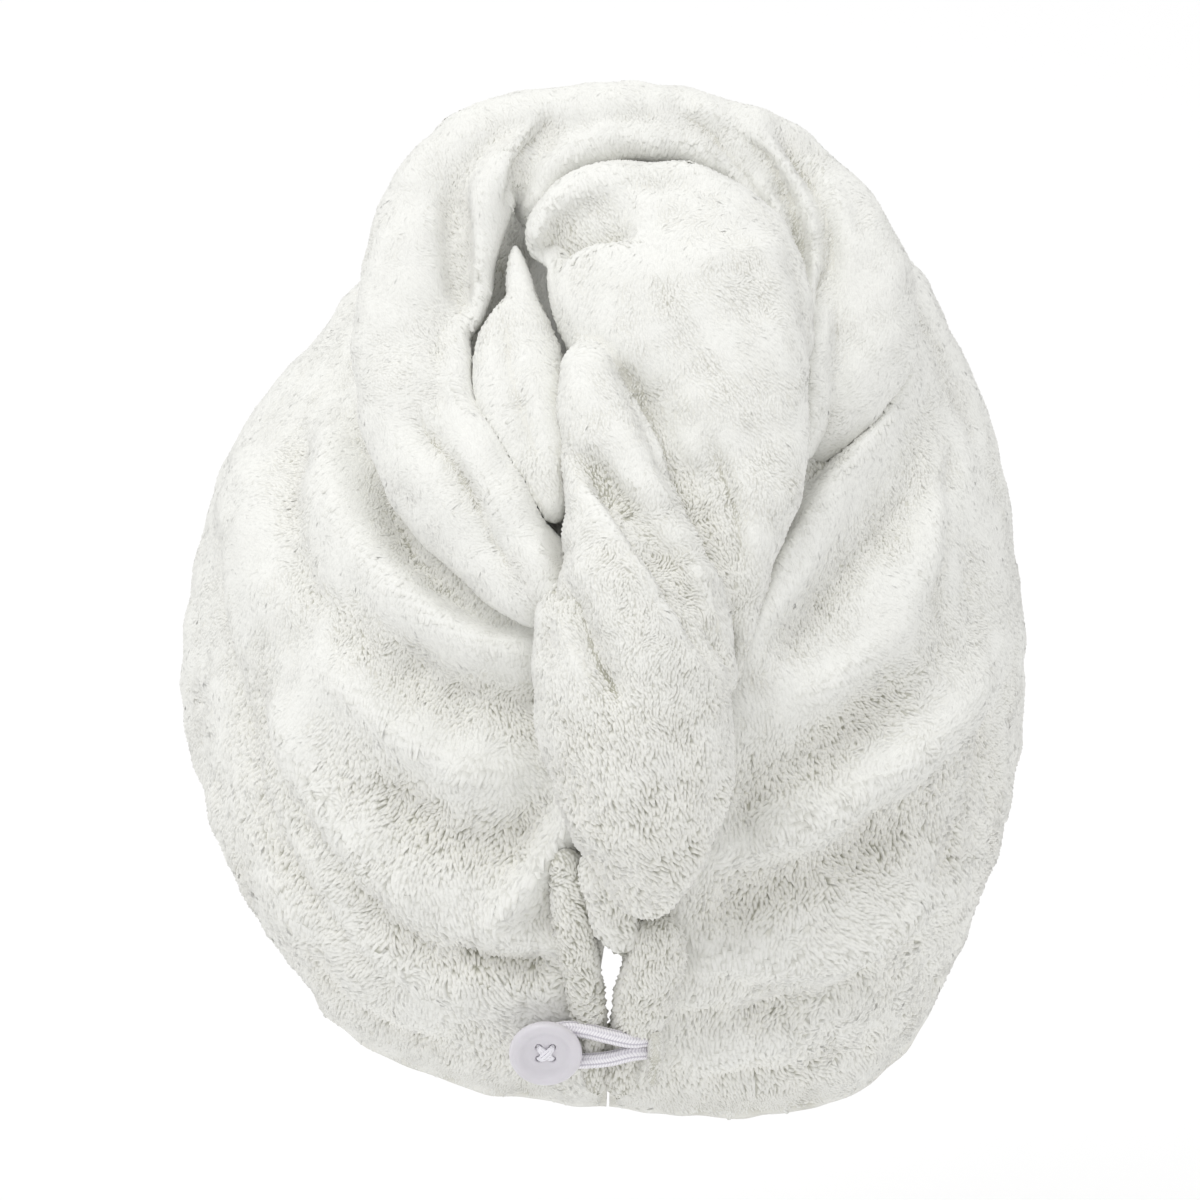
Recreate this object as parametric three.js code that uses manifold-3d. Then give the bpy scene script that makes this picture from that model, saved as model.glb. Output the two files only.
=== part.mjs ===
// Hair towel: a plush towel wound into a turban and closed at the nape by a button and an elastic loop.
// Millimetres, +Z up. The front is +Y, so the button and the tail are on the -Y side.
// The origin lies inside the hood, under the middle of its crown, where the wrap sits when it is worn.

import * as THREE from 'three';
import { mergeVertices } from 'three/addons/utils/BufferGeometryUtils.js';
import Module from 'manifold-3d';

const wasm = await Module();
wasm.setup();

// Driving sizes
const clothThickness = 5;
const pieceGap = 0.5;
const backViewLean = THREE.MathUtils.degToRad(30);
const crownForward = 35;
const crownHeight = 98;

const buttonDiameter = 21;
const buttonThickness = 3.6;
const buttonRim = 1.6;
const buttonDishDepth = 1.3;
const buttonHoleDiameter = 2.2;
const buttonHoleSpacing = 4;
const threadDiameter = 1.2;
const shankLength = 8.5;
const elasticDiameter = 4.4;
const buttonBack = new THREE.Vector3(-15.6, -134, -107.4);

// How finely the cloth is faceted
const hoodColumns = 52;
const hoodRows = 20;
const strandSides = 10;

// The hood in upright sections through the middle of its mound. A row holds the section's bearing,
// in degrees from the back towards the right, then how far out and how high four of its points lie.
const hoodSectionColumns = [
  'bearing', 'hemOut', 'hemUp', 'bellyOut', 'bellyUp', 'shoulderOut', 'shoulderUp', 'moundOut', 'moundUp',
];
const hoodSections = [
  [-180, 66, -40, 74, -10, 72, 38, 56, 82],
  [-150, 74, -44, 82, -18, 76, 29, 56, 78],
  [-120, 92, -55, 100, -32, 81, 20, 55, 68],
  [-90, 105, -74, 119, -50, 102, 9, 53, 55],
  [-60, 121, -95, 138, -66, 119, 2, 60, 49],
  [-30, 148, -128, 161, -80, 132, -2, 70, 45],
  [0, 150, -140, 161, -84, 134, 0, 76, 44],
  [30, 152, -145, 162, -82, 134, 2, 74, 48],
  [60, 130, -113, 140, -70, 126, 8, 70, 58],
  [90, 110, -76, 119, -54, 111, 19, 71, 71],
  [120, 92, -56, 100, -32, 95, 27, 67, 78],
  [150, 74, -44, 82, -18, 80, 32, 60, 82],
];
// Where those four points and the crown lie between hem and crown, from 0 to 1
const sectionStations = { hem: 0, belly: 0.3, shoulder: 0.55, mound: 0.8, crown: 1 };

// Folds pressed into the hood's back, in the leaning back view: a path of [across, up] points, the
// fold's half width, and its height, which is negative for a valley.
const backFolds = [
  { path: [[-80, 27], [-73, -7], [-49, -39], [-12, -47]], width: 9, height: 7 },
  { path: [[-66, 11], [-56, -15], [-37, -35], [-12, -43]], width: 4, height: -5 },
  { path: [[-62, -43], [-43, -56], [-12, -62]], width: 6, height: -7 },
  { path: [[-66, -54], [-43, -72], [-12, -79]], width: 7, height: 5 },
  { path: [[-60, -103], [-37, -97], [-13, -89]], width: 9, height: -6 },
  { path: [[-104, -57], [-81, -86], [-52, -108], [-29, -119]], width: 7, height: 4 },
  { path: [[-106, -68], [-86, -103], [-58, -126], [-37, -133]], width: 4, height: -3 },
  { path: [[-109, 4], [-112, -31], [-110, -54], [-104, -71]], width: 3, height: -3 },
  { path: [[-86, 29], [-88, -2], [-83, -38]], width: 5, height: -3 },
  { path: [[-97, 15], [-101, -14], [-94, -45]], width: 7, height: 3 },
  { path: [[-1, -83], [-12, -104], [-22, -121], [-35, -128]], width: 5, height: 8 },
  { path: [[-42, -131], [-26, -135], [-12, -132]], width: 3, height: -4 },
  { path: [[-86, -119], [-60, -142], [-23, -148]], width: 7, height: 2.5 },
  { path: [[52, -2], [72, 12], [83, 31], [88, 53]], width: 7, height: 6 },
  { path: [[59, 5], [74, 17], [82, 35]], width: 3, height: -5 },
  { path: [[49, -37], [72, -12], [95, 15]], width: 6, height: -4 },
  { path: [[40, -57], [63, -31], [88, -8], [102, 21]], width: 5, height: 3 },
  { path: [[29, -100], [53, -99], [78, -83], [114, -34]], width: 8, height: 7 },
  { path: [[39, -81], [60, -76], [92, -48]], width: 9, height: -5 },
  { path: [[26, -121], [52, -116], [95, -93]], width: 8, height: -6 },
  { path: [[20, -128], [40, -133], [72, -133], [105, -113]], width: 8, height: 6 },
  { path: [[14, -151], [40, -153], [69, -147], [95, -130]], width: 5, height: -5 },
  { path: [[100, 21], [98, -8], [92, -34]], width: 2.5, height: -2 },
  { path: [[14, -165], [46, -166], [75, -155], [96, -135]], width: 7, height: 3 },
  { path: [[-86, -135], [-63, -156], [-23, -164]], width: 7, height: 2.5 },
  { path: [[-27, 84], [-29, 58], [-27, 38], [-17, 15]], width: 11, height: -16 },
];
// Folds in the hood's front, in the upright front view as [right, up]: they run from the hem to the
// middle of the crown, where the cloth is gathered.
const frontFolds = [
  { path: [[-98, -30], [-70, 5], [-35, 45], [-8, 80]], width: 9, height: 5 },
  { path: [[-78, -38], [-50, -5], [-22, 40], [-4, 78]], width: 8, height: 4 },
  { path: [[-45, -42], [-26, 0], [-10, 45], [0, 80]], width: 7, height: 3.5 },
  { path: [[98, -30], [74, 10], [40, 52], [10, 84]], width: 9, height: 5 },
  { path: [[80, -42], [54, 0], [26, 46], [6, 80]], width: 8, height: 4 },
  { path: [[44, -42], [28, 4], [14, 48], [4, 80]], width: 7, height: 3.5 },
];

// Strands of wound cloth, each a soft oval carried along a path in the leaning back view. A row holds
// the middle's [across, up, out] and the oval's half width in that view and half depth out of it.
const rollStrands = {
  main: [
    [-7, -37, 84, 9, 10], [-20, -24, 84, 14, 13], [-37, -7, 73, 16.5, 15], [-52, 19, 57, 17, 15],
    [-55, 47, 44, 17, 15], [-50, 76, 36, 16, 14], [-36, 97, 31, 14, 13], [-12, 108, 31, 10.5, 11],
    [12, 110, 29, 9.5, 11], [37, 104, 27, 11, 12], [58, 90, 27, 14, 13], [71, 68, 31, 17, 14],
    [77, 46, 34, 16, 13], [80, 26, 35, 12, 10], [82, 8, 36, 7, 7],
  ],
  lowerInner: [
    [-40, 50, 52, 4, 6], [-38, 31, 62, 7, 9], [-32, 12, 73, 8, 10], [-22, -7, 83, 8, 10],
    [-13, -22, 90, 7, 9], [-6, -34, 94, 5, 7],
  ],
  upperInner: [
    [-10, 111, 33, 3, 4], [-22, 99, 41, 6, 8], [-31, 83, 45, 7.5, 9], [-33, 65, 47, 6.5, 8],
    [-36, 50, 50, 4, 6],
  ],
  arc: [
    [-21, 77, 36, 5, 7], [-15, 93, 38, 7, 9], [0, 101, 37, 7, 9], [20, 101, 35, 6.5, 8],
    [39, 94, 33, 6, 8], [51, 78, 35, 5.5, 8], [57, 61, 40, 4, 6], [60, 47, 44, 2.5, 4],
  ],
  pleat: [
    [29, 108, 31, 3, 5], [47, 100, 34, 5, 7], [58, 86, 35, 6, 7], [62, 68, 38, 5.5, 7],
    [61, 50, 43, 3, 5],
  ],
};
const tailStrands = {
  lobe: [
    [6, 87, 42, 9, 8], [12, 72, 51, 29, 15], [23, 53, 61, 34, 18], [33, 29, 68, 28, 17],
    [39, 6, 74, 20, 15], [43, -17, 82, 12, 12], [43, -40, 88, 7, 9], [40, -60, 88, 3.5, 6],
  ],
  hook: [
    [-15, 65, 51, 5, 6], [-13, 77, 50, 7.5, 8], [-3, 85, 48, 9, 10], [12, 89, 46, 9, 10],
    [29, 87, 45, 10, 11], [43, 73, 48, 12, 12], [53, 55, 52, 10, 12], [58, 35, 57, 7, 10],
  ],
  second: [
    [-7, 35, 72, 6, 9], [3, 18, 80, 8, 12], [16, 1, 87, 8.5, 12], [29, -18, 93, 6.5, 10],
    [35, -37, 95, 4, 8], [38, -57, 93, 2, 5],
  ],
  front: [
    [-8, 11, 77, 4, 7], [0, -8, 91, 12, 14], [9, -31, 99, 22, 17], [10, -54, 103, 27, 18],
    [12, -77, 101, 26, 18], [14, -97, 96, 20, 16], [16, -113, 89, 13, 12], [18, -125, 82, 5, 6],
  ],
  lip: [
    [-10, -21, 90, 3, 5], [-13, -37, 95, 5, 8], [-13, -57, 98, 6, 9], [-9, -77, 98, 6, 8],
    [-3, -94, 94, 4, 6],
  ],
};
const innerLeaf = [
  [-24, 70, 47, 1.5, 3], [-24, 60, 50, 3, 5], [-24, 48, 54, 7, 7], [-25, 37, 60, 10, 8],
  [-21, 24, 67, 9, 8], [-16, 9, 75, 5.5, 7], [-11, -5, 82, 3, 5],
];
const leftSlitHem = [
  [-6, -108, 77, 4, 4], [-5, -125, 74, 6, 5], [-3, -142, 67, 5.5, 5], [-2, -155, 59, 4.5, 4],
  [-1, -172, 48, 4, 4],
];
const rightSlitHem = [
  [15, -125, 76, 7, 5], [13, -136, 72, 8, 6], [10, -147, 64, 6.5, 5.5], [7, -159, 54.5, 5, 4.5],
  [5, -175, 45, 4.5, 4],
];
const tabRoll = [[14, -149, 63, 2.4, 3], [16, -159, 60, 2.8, 4], [15, -171, 53, 2.4, 3]];

// The nape slit's outline in the back view, widest in the middle and closed towards the hem
const slitOutline = [
  [3, -116], [5.5, -128], [6.5, -139], [5, -150], [2.7, -160], [2.5, -190],
  [1.9, -190], [1.7, -160], [0.5, -150], [0, -139], [1, -128],
];
const slitDepth = { from: 20, to: 110 };

// The elastic's middle line round the button's shank, as [right, back, up]
const elasticRoute = [
  [14, -130, -106.4], [7, -133.4, -105], [0, -133, -103.2], [-8, -131, -101.4],
  [-15.6, -130.2, -100.9], [-21, -129.8, -103.4], [-22.4, -129.6, -107.4], [-21, -129.4, -111.4],
  [-15.6, -129.4, -113.9], [-8, -130.2, -113.6], [0, -132, -112.9], [7, -132.6, -112.2],
  [14, -129, -111.9],
];

// Colours and finishes
const fleece = { color: '#f1f1ec', roughness: 1, metalness: 0 };
const fleeceShaded = { color: '#e6e7e1', roughness: 1, metalness: 0 };
const buttonPlastic = { color: '#e9e6ef', roughness: 0.35, metalness: 0 };
const elasticBraid = { color: '#e7e4ee', roughness: 0.8, metalness: 0 };
const whiteThread = { color: '#f2f0f5', roughness: 0.9, metalness: 0 };

// A point of the leaning back view: across to the right, up the view, and out towards the viewer
function fromBackView(across, up, out) {
  const sin = Math.sin(backViewLean);
  const cos = Math.cos(backViewLean);
  return new THREE.Vector3(across, up * sin - out * cos, up * cos + out * sin);
}

const towardsViewer = fromBackView(0, 0, 1);

function toBackView(point) {
  const sin = Math.sin(backViewLean);
  const cos = Math.cos(backViewLean);
  return new THREE.Vector2(point.x, point.y * sin + point.z * cos);
}

// A smooth curve through the values at the given stations: each piece is a cubic whose end slopes are
// the mean of the slopes beside it.
function smoothThrough(stations, values, at) {
  const last = stations.length - 2;
  let i = 0;
  while (i < last && at >= stations[i + 1]) i += 1;
  const chord = (k) => (values[k + 1] - values[k]) / (stations[k + 1] - stations[k]);
  const slope = (k) => {
    if (k === 0) return chord(0);
    if (k === last + 1) return chord(last);
    return (chord(k - 1) + chord(k)) / 2;
  };
  const span = stations[i + 1] - stations[i];
  const s = (at - stations[i]) / span;
  const fromStart = 2 * s ** 3 - 3 * s ** 2 + 1;
  const startLean = (s ** 3 - 2 * s ** 2 + s) * span * slope(i);
  const endLean = (s ** 3 - s ** 2) * span * slope(i + 1);
  return fromStart * values[i] + (1 - fromStart) * values[i + 1] + startLean + endLean;
}

const smoothStep = (low, high, x) => THREE.MathUtils.smoothstep(x, low, high);

// The section table repeated on both sides, so that it joins up at the front
const wrapRows = 3;
const wrappedSections = [
  ...hoodSections.slice(-wrapRows).map(([bearing, ...sizes]) => [bearing - 360, ...sizes]),
  ...hoodSections,
  ...hoodSections.slice(0, wrapRows).map(([bearing, ...sizes]) => [bearing + 360, ...sizes]),
];

function sectionSize(name, bearing) {
  const column = hoodSectionColumns.indexOf(name);
  const bearings = wrappedSections.map((row) => row[0]);
  return smoothThrough(bearings, wrappedSections.map((row) => row[column]), bearing);
}

// The hood's unfolded surface: bearing in degrees, station from 0 at the hem to 1 at the crown.
// The section is mirrored past the crown, so that the top is smooth.
function hoodBase(bearing, station) {
  const names = ['hem', 'belly', 'shoulder', 'mound'];
  const { hem, belly, shoulder, mound, crown } = sectionStations;
  const stations = [hem, belly, shoulder, mound, crown, 2 * crown - mound, 2 * crown - shoulder];
  const outs = names.map((name) => sectionSize(`${name}Out`, bearing));
  const ups = names.map((name) => sectionSize(`${name}Up`, bearing));
  const out = smoothThrough(stations, [...outs, 0, -outs[3], -outs[2]], station);
  const up = smoothThrough(stations, [...ups, crownHeight, ups[3], ups[2]], station);
  const angle = THREE.MathUtils.degToRad(bearing);
  return new THREE.Vector3(out * Math.sin(angle), crownForward - out * Math.cos(angle), up);
}

function hoodNormal(bearing, station) {
  if (station >= sectionStations.crown) return new THREE.Vector3(0, 0, 1);
  const step = 0.01;
  const low = Math.max(0, station - step);
  const alongHem = hoodBase(bearing + 1, station).sub(hoodBase(bearing - 1, station));
  const upwards = hoodBase(bearing, station + step).sub(hoodBase(bearing, low));
  return alongHem.cross(upwards).normalize();
}

const foldPathPoints = 18;

function foldCurve({ path, width, height }) {
  const curve = new THREE.CatmullRomCurve3(path.map(([across, up]) => new THREE.Vector3(across, up, 0)));
  return { points: curve.getPoints(foldPathPoints), width, height };
}

// The two views that folds are given in: which way the view looks from, and a point's place in it
const foldViews = [
  { from: towardsViewer, place: toBackView, curves: backFolds.map(foldCurve) },
  {
    from: new THREE.Vector3(0, 1, 0),
    place: (point) => new THREE.Vector2(point.x, point.z),
    curves: frontFolds.map(foldCurve),
  },
];

// The height of a view's folds at a place in it: each is a rounded ridge about its path, and dies away
// over the first and last quarter of it.
function foldHeight(curves, place) {
  let total = 0;
  for (const { points, width, height } of curves) {
    let nearest = Infinity;
    let along = 0;
    for (let k = 0; k < foldPathPoints; k += 1) {
      const dx = points[k + 1].x - points[k].x;
      const dy = points[k + 1].y - points[k].y;
      const dot = (place.x - points[k].x) * dx + (place.y - points[k].y) * dy;
      const s = THREE.MathUtils.clamp(dot / (dx * dx + dy * dy), 0, 1);
      const distance = Math.hypot(place.x - points[k].x - s * dx, place.y - points[k].y - s * dy);
      if (distance < nearest) {
        nearest = distance;
        along = (k + s) / foldPathPoints;
      }
    }
    const ends = smoothStep(0, 0.25, along) * smoothStep(0, 0.25, 1 - along);
    total += height * ends * Math.exp(-((nearest / width) ** 2));
  }
  return total;
}

// The hood's surface with its folds, each view's fading where the cloth turns away from it. The inner
// face lies a cloth's thickness in, and follows the ridges more weakly.
const innerRidgeShare = 0.7;

function hoodPoint(bearing, station, { inside = false, grow = 0 } = {}) {
  const base = hoodBase(bearing, station);
  const normal = hoodNormal(bearing, station);
  let fold = 0;
  for (const { from, place, curves } of foldViews) {
    fold += smoothStep(0.05, 0.4, normal.dot(from)) * foldHeight(curves, place(base));
  }
  const offset = inside ? Math.min(fold, innerRidgeShare * fold) - clothThickness : fold + grow;
  return base.addScaledVector(normal, offset);
}

function bodyGeometry(points, triangles) {
  const geometry = new THREE.BufferGeometry();
  const coordinates = points.flatMap((point) => point.toArray());
  geometry.setAttribute('position', new THREE.Float32BufferAttribute(coordinates, 3));
  geometry.setIndex(triangles);
  return geometry;
}

// Rings of the hood from hem to crown: all the points, with the crown's last. The columns stand closer
// at the back, where most folds are.
const backCrowding = 25;

function hoodRings(options) {
  const points = [];
  for (let row = 0; row < hoodRows; row += 1) {
    for (let column = 0; column < hoodColumns; column += 1) {
      const even = -180 + (360 * column) / hoodColumns;
      const bearing = even - backCrowding * Math.sin(THREE.MathUtils.degToRad(even));
      points.push(hoodPoint(bearing, row / hoodRows, options));
    }
  }
  points.push(hoodPoint(0, sectionStations.crown, options));
  return points;
}

// Triangles of such rings, facing outwards, or inwards when flipped
function ringTriangles(firstPoint, flipped) {
  const triangles = [];
  const put = (a, b, c) => triangles.push(...(flipped ? [a, c, b] : [a, b, c]));
  for (let row = 0; row < hoodRows; row += 1) {
    for (let column = 0; column < hoodColumns; column += 1) {
      const next = (column + 1) % hoodColumns;
      const a = firstPoint + row * hoodColumns + column;
      const b = firstPoint + row * hoodColumns + next;
      if (row === hoodRows - 1) {
        put(a, b, firstPoint + hoodRows * hoodColumns);
      } else {
        put(a, b, b + hoodColumns);
        put(a, b + hoodColumns, a + hoodColumns);
      }
    }
  }
  return triangles;
}

// The hood's cloth: its outer face, its inner face and the hem between them
function hoodShell() {
  const outer = hoodRings({});
  const inner = hoodRings({ inside: true });
  const triangles = [...ringTriangles(0, false), ...ringTriangles(outer.length, true)];
  for (let column = 0; column < hoodColumns; column += 1) {
    const next = (column + 1) % hoodColumns;
    triangles.push(next, column, outer.length + column);
    triangles.push(next, outer.length + column, outer.length + next);
  }
  return bodyGeometry([...outer, ...inner], triangles);
}

// The space that the hood takes with its hollow filled, a gap larger all over: it trims what lies on it
function hoodSpace() {
  const points = hoodRings({ grow: pieceGap });
  const hemMiddle = new THREE.Vector3(0, 0, sectionSize('hemUp', 0));
  const triangles = ringTriangles(0, false);
  for (let column = 0; column < hoodColumns; column += 1) {
    triangles.push((column + 1) % hoodColumns, column, points.length);
  }
  return bodyGeometry([...points, hemMiddle], triangles);
}

// A strand of cloth: an oval section carried along the smooth path through the rows. Its wide axis lies
// in the back view, square to the path. Its ends are rounded over a share of a row's length, and its
// sections stand closer there.
const roundedRows = 0.6;
const endCrowding = 0.35;

function strand(rows, grow = 0) {
  const steps = Math.max(8, 2 * rows.length);
  const path = new THREE.CatmullRomCurve3(rows.map(([across, up, out]) => fromBackView(across, up, out)));
  const stations = rows.map((row, i) => i / (rows.length - 1));
  const points = [path.getPoint(0)];
  const endShare = roundedRows / rows.length;
  for (let step = 1; step < steps; step += 1) {
    const crowded = (1 - Math.cos((Math.PI * step) / steps)) / 2;
    const along = endCrowding * crowded + ((1 - endCrowding) * step) / steps;
    const fromEnd = Math.min(1, along / endShare, (1 - along) / endShare);
    const round = Math.sqrt(1 - (1 - fromEnd) ** 2);
    const halfWidth = round * smoothThrough(stations, rows.map((row) => row[3]), along) + grow;
    const halfDepth = round * smoothThrough(stations, rows.map((row) => row[4]), along) + grow;
    const middle = path.getPoint(along);
    const tangent = path.getTangent(along);
    const wide = new THREE.Vector3().crossVectors(tangent, towardsViewer).normalize();
    const deep = new THREE.Vector3().crossVectors(wide, tangent).normalize();
    for (let side = 0; side < strandSides; side += 1) {
      const angle = (2 * Math.PI * side) / strandSides;
      points.push(middle.clone()
        .addScaledVector(wide, halfWidth * Math.cos(angle))
        .addScaledVector(deep, halfDepth * Math.sin(angle)));
    }
  }
  points.push(path.getPoint(1));
  points[0].addScaledVector(path.getTangent(0), -grow);
  points[points.length - 1].addScaledVector(path.getTangent(1), grow);
  const triangles = [];
  const ring = (step, side) => 1 + (step - 1) * strandSides + (side % strandSides);
  for (let side = 0; side < strandSides; side += 1) {
    triangles.push(0, ring(1, side), ring(1, side + 1));
    for (let step = 1; step < steps - 1; step += 1) {
      triangles.push(ring(step, side), ring(step + 1, side), ring(step + 1, side + 1));
      triangles.push(ring(step, side), ring(step + 1, side + 1), ring(step, side + 1));
    }
    triangles.push(ring(steps - 1, side), points.length - 1, ring(steps - 1, side + 1));
  }
  return bodyGeometry(points, triangles);
}

// From a closed geometry to a solid that can be cut, and back
function toSolid(geometry) {
  const bare = geometry.clone();
  bare.deleteAttribute('normal');
  bare.deleteAttribute('uv');
  const merged = mergeVertices(bare, 1e-4);
  return new wasm.Manifold(new wasm.Mesh({
    numProp: 3,
    vertProperties: new Float32Array(merged.attributes.position.array),
    triVerts: new Uint32Array(merged.index.array),
  }));
}

function toGeometry(solid) {
  const mesh = solid.getMesh();
  const geometry = new THREE.BufferGeometry();
  geometry.setAttribute('position', new THREE.BufferAttribute(new Float32Array(mesh.vertProperties), 3));
  geometry.setIndex(new THREE.BufferAttribute(new Uint32Array(mesh.triVerts), 1));
  geometry.computeVertexNormals();
  return geometry;
}

const joined = (solids) => solids.reduce((whole, solid) => whole.add(solid));
const trimmed = (solid, cutters) => cutters.reduce((rest, cutter) => rest.subtract(cutter), solid);

// Trimming can leave crumbs beside the piece: the largest body is the piece
function largestBody(solid) {
  return solid.decompose().reduce((largest, body) => (body.volume() > largest.volume() ? body : largest));
}

const strandSolid = (rows, grow = 0) => toSolid(strand(rows, grow));

const bundle = (strands, grow = 0) => joined(Object.values(strands).map((rows) => strandSolid(rows, grow)));

// The slit is cut straight through the cloth of the nape, along the back view
function slitCutter() {
  const outline = new THREE.Shape(slitOutline.map(([across, up]) => new THREE.Vector2(across, up)));
  const depth = slitDepth.to - slitDepth.from;
  const cutter = new THREE.ExtrudeGeometry(outline, { depth, bevelEnabled: false });
  cutter.translate(0, 0, slitDepth.from);
  const frame = new THREE.Matrix4().makeBasis(
    fromBackView(1, 0, 0), fromBackView(0, 1, 0), fromBackView(0, 0, 1));
  cutter.applyMatrix4(frame);
  return toSolid(cutter);
}

// The elastic: a round cord swept along its route. An overrun draws both ends out to the right.
function elasticCord(diameter, { overrun = 0, steps = 56, sides = 10 } = {}) {
  const points = elasticRoute.map((point) => new THREE.Vector3(...point));
  points[0].x += overrun;
  points[points.length - 1].x += overrun;
  const route = new THREE.CatmullRomCurve3(points);
  const section = new THREE.Shape();
  for (let side = 0; side < sides; side += 1) {
    const angle = (2 * Math.PI * side) / sides;
    const x = (diameter / 2) * Math.cos(angle);
    const y = (diameter / 2) * Math.sin(angle);
    if (side === 0) section.moveTo(x, y);
    else section.lineTo(x, y);
  }
  section.closePath();
  return toSolid(new THREE.ExtrudeGeometry(section, { steps, extrudePath: route, bevelEnabled: false }));
}

// The button is made about +Y, standing on its back, and is then turned to face out of the nape
function turnToBack(geometry) {
  geometry.rotateX(Math.PI);
  geometry.translate(buttonBack.x, buttonBack.y, buttonBack.z);
  return geometry;
}

function holePlaces() {
  const half = buttonHoleSpacing / 2;
  return [[-half, -half], [half, -half], [half, half], [-half, half]];
}

// The button's profile from the middle of its back, round its edge and rim, to the floor of its dish
function buttonSolid() {
  const radius = buttonDiameter / 2;
  const dishFloor = buttonThickness - buttonDishDepth;
  const dishRadius = radius - 2.2 * buttonRim;
  const edge = 0.3 * buttonThickness;
  const profile = [
    [0, 0], [radius - 2 * edge, 0], [radius - edge, 0.3 * edge], [radius, 1.4 * edge],
    [radius, buttonThickness - edge], [radius - 0.3 * buttonRim, buttonThickness - 0.3 * edge],
    [radius - 0.8 * buttonRim, buttonThickness], [radius - 1.4 * buttonRim, buttonThickness - 0.2 * edge],
    [dishRadius, dishFloor + 0.4], [dishRadius - buttonRim, dishFloor], [0, dishFloor],
  ];
  const round = new THREE.LatheGeometry(profile.map(([r, y]) => new THREE.Vector2(r, y)), 40);
  const body = toSolid(turnToBack(round));
  const holes = holePlaces().map(([x, z]) => {
    const radius = buttonHoleDiameter / 2;
    const hole = new THREE.CylinderGeometry(radius, radius, 4 * buttonThickness, 14);
    hole.translate(x, 0, z);
    return toSolid(turnToBack(hole));
  });
  return trimmed(body, holes);
}

// The thread: two crossed stitches over the face and four legs down to the cloth
function threadSolid() {
  const dishFloor = buttonThickness - buttonDishDepth;
  const stitchHeight = dishFloor + pieceGap + threadDiameter / 2;
  const legBottom = -shankLength;
  const radius = threadDiameter / 2;
  const stitchLength = Math.SQRT2 * buttonHoleSpacing + radius;
  const parts = [];
  for (const [x, z] of holePlaces()) {
    const leg = new THREE.CylinderGeometry(radius, radius, stitchHeight - legBottom, 8);
    leg.translate(x, (stitchHeight + legBottom) / 2, z);
    parts.push(toSolid(turnToBack(leg)));
  }
  for (const turn of [Math.PI / 4, -Math.PI / 4]) {
    const stitch = new THREE.CylinderGeometry(radius, radius, stitchLength, 8);
    stitch.rotateX(Math.PI / 2);
    stitch.rotateY(turn);
    stitch.translate(0, stitchHeight, 0);
    parts.push(toSolid(turnToBack(stitch)));
  }
  return joined(parts);
}

// The pieces, each trimmed a gap clear of the ones that it lies on
const underHood = toSolid(hoodSpace());
const hood = toSolid(hoodShell()).subtract(slitCutter());
const crownRoll = largestBody(trimmed(bundle(rollStrands), [underHood]));
const rollSpace = bundle(rollStrands, pieceGap);
const innerFold = largestBody(trimmed(strandSolid(innerLeaf), [underHood, rollSpace]));
const leafSpace = strandSolid(innerLeaf, pieceGap);
const tail = largestBody(trimmed(bundle(tailStrands), [underHood, rollSpace, leafSpace]));
const tailSpace = bundle(tailStrands, pieceGap);
const elasticLoop = elasticCord(elasticDiameter);
const elasticSpaceDiameter = elasticDiameter + 3 * pieceGap;
const elasticSpace = elasticCord(elasticSpaceDiameter, { overrun: pieceGap, steps: 28, sides: 8 });
const leftHemCutters = [underHood, tailSpace, elasticSpace];
const slitHemLeft = largestBody(trimmed(strandSolid(leftSlitHem), leftHemCutters));
const leftHemSpace = strandSolid(leftSlitHem, pieceGap);
const rightHemCutters = [...leftHemCutters, leftHemSpace];
const slitHemRight = largestBody(trimmed(strandSolid(rightSlitHem), rightHemCutters));
const rightHemSpace = strandSolid(rightSlitHem, pieceGap);
const loopTab = largestBody(trimmed(strandSolid(tabRoll), [underHood, rightHemSpace, elasticSpace]));

const pieces = [
  ['hood', hood, fleece],
  ['crown_roll', crownRoll, fleece],
  ['inner_fold', innerFold, fleeceShaded],
  ['tail', tail, fleece],
  ['slit_hem_left', slitHemLeft, fleece],
  ['slit_hem_right', slitHemRight, fleece],
  ['loop_tab', loopTab, fleeceShaded],
  ['elastic_loop', elasticLoop, elasticBraid],
  ['button', buttonSolid(), buttonPlastic],
  ['button_thread', threadSolid(), whiteThread],
];

const group = new THREE.Group();
for (const [name, solid, finish] of pieces) {
  const mesh = new THREE.Mesh(toGeometry(solid), new THREE.MeshStandardMaterial(finish));
  mesh.name = name;
  group.add(mesh);
}

export default group;
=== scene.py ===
import math

import bpy
import numpy as np
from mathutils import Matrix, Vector
from mathutils.bvhtree import BVHTree
from mathutils.kdtree import KDTree


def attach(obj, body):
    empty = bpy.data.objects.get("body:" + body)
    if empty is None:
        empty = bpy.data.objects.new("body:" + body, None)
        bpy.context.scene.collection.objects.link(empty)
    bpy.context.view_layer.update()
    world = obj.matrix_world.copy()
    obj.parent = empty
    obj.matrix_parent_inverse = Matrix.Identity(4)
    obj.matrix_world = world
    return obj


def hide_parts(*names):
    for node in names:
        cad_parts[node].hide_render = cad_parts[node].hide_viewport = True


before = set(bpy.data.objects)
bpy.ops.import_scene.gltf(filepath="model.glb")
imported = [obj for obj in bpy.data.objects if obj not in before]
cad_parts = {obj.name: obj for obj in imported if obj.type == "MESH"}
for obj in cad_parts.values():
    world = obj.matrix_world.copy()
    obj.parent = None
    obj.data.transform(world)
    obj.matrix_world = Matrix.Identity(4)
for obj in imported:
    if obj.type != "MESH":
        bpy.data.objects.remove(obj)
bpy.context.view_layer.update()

# Sizes in millimetres, as the towel is made; METRE turns them into Blender's metres
METRE = 0.001
CLOTH_THICKNESS = 5.0
PIECE_GAP = 0.4
BACK_VIEW_LEAN = math.radians(30)
CROWN_FORWARD = 35.0
CROWN_HEIGHT = 98.0
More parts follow.
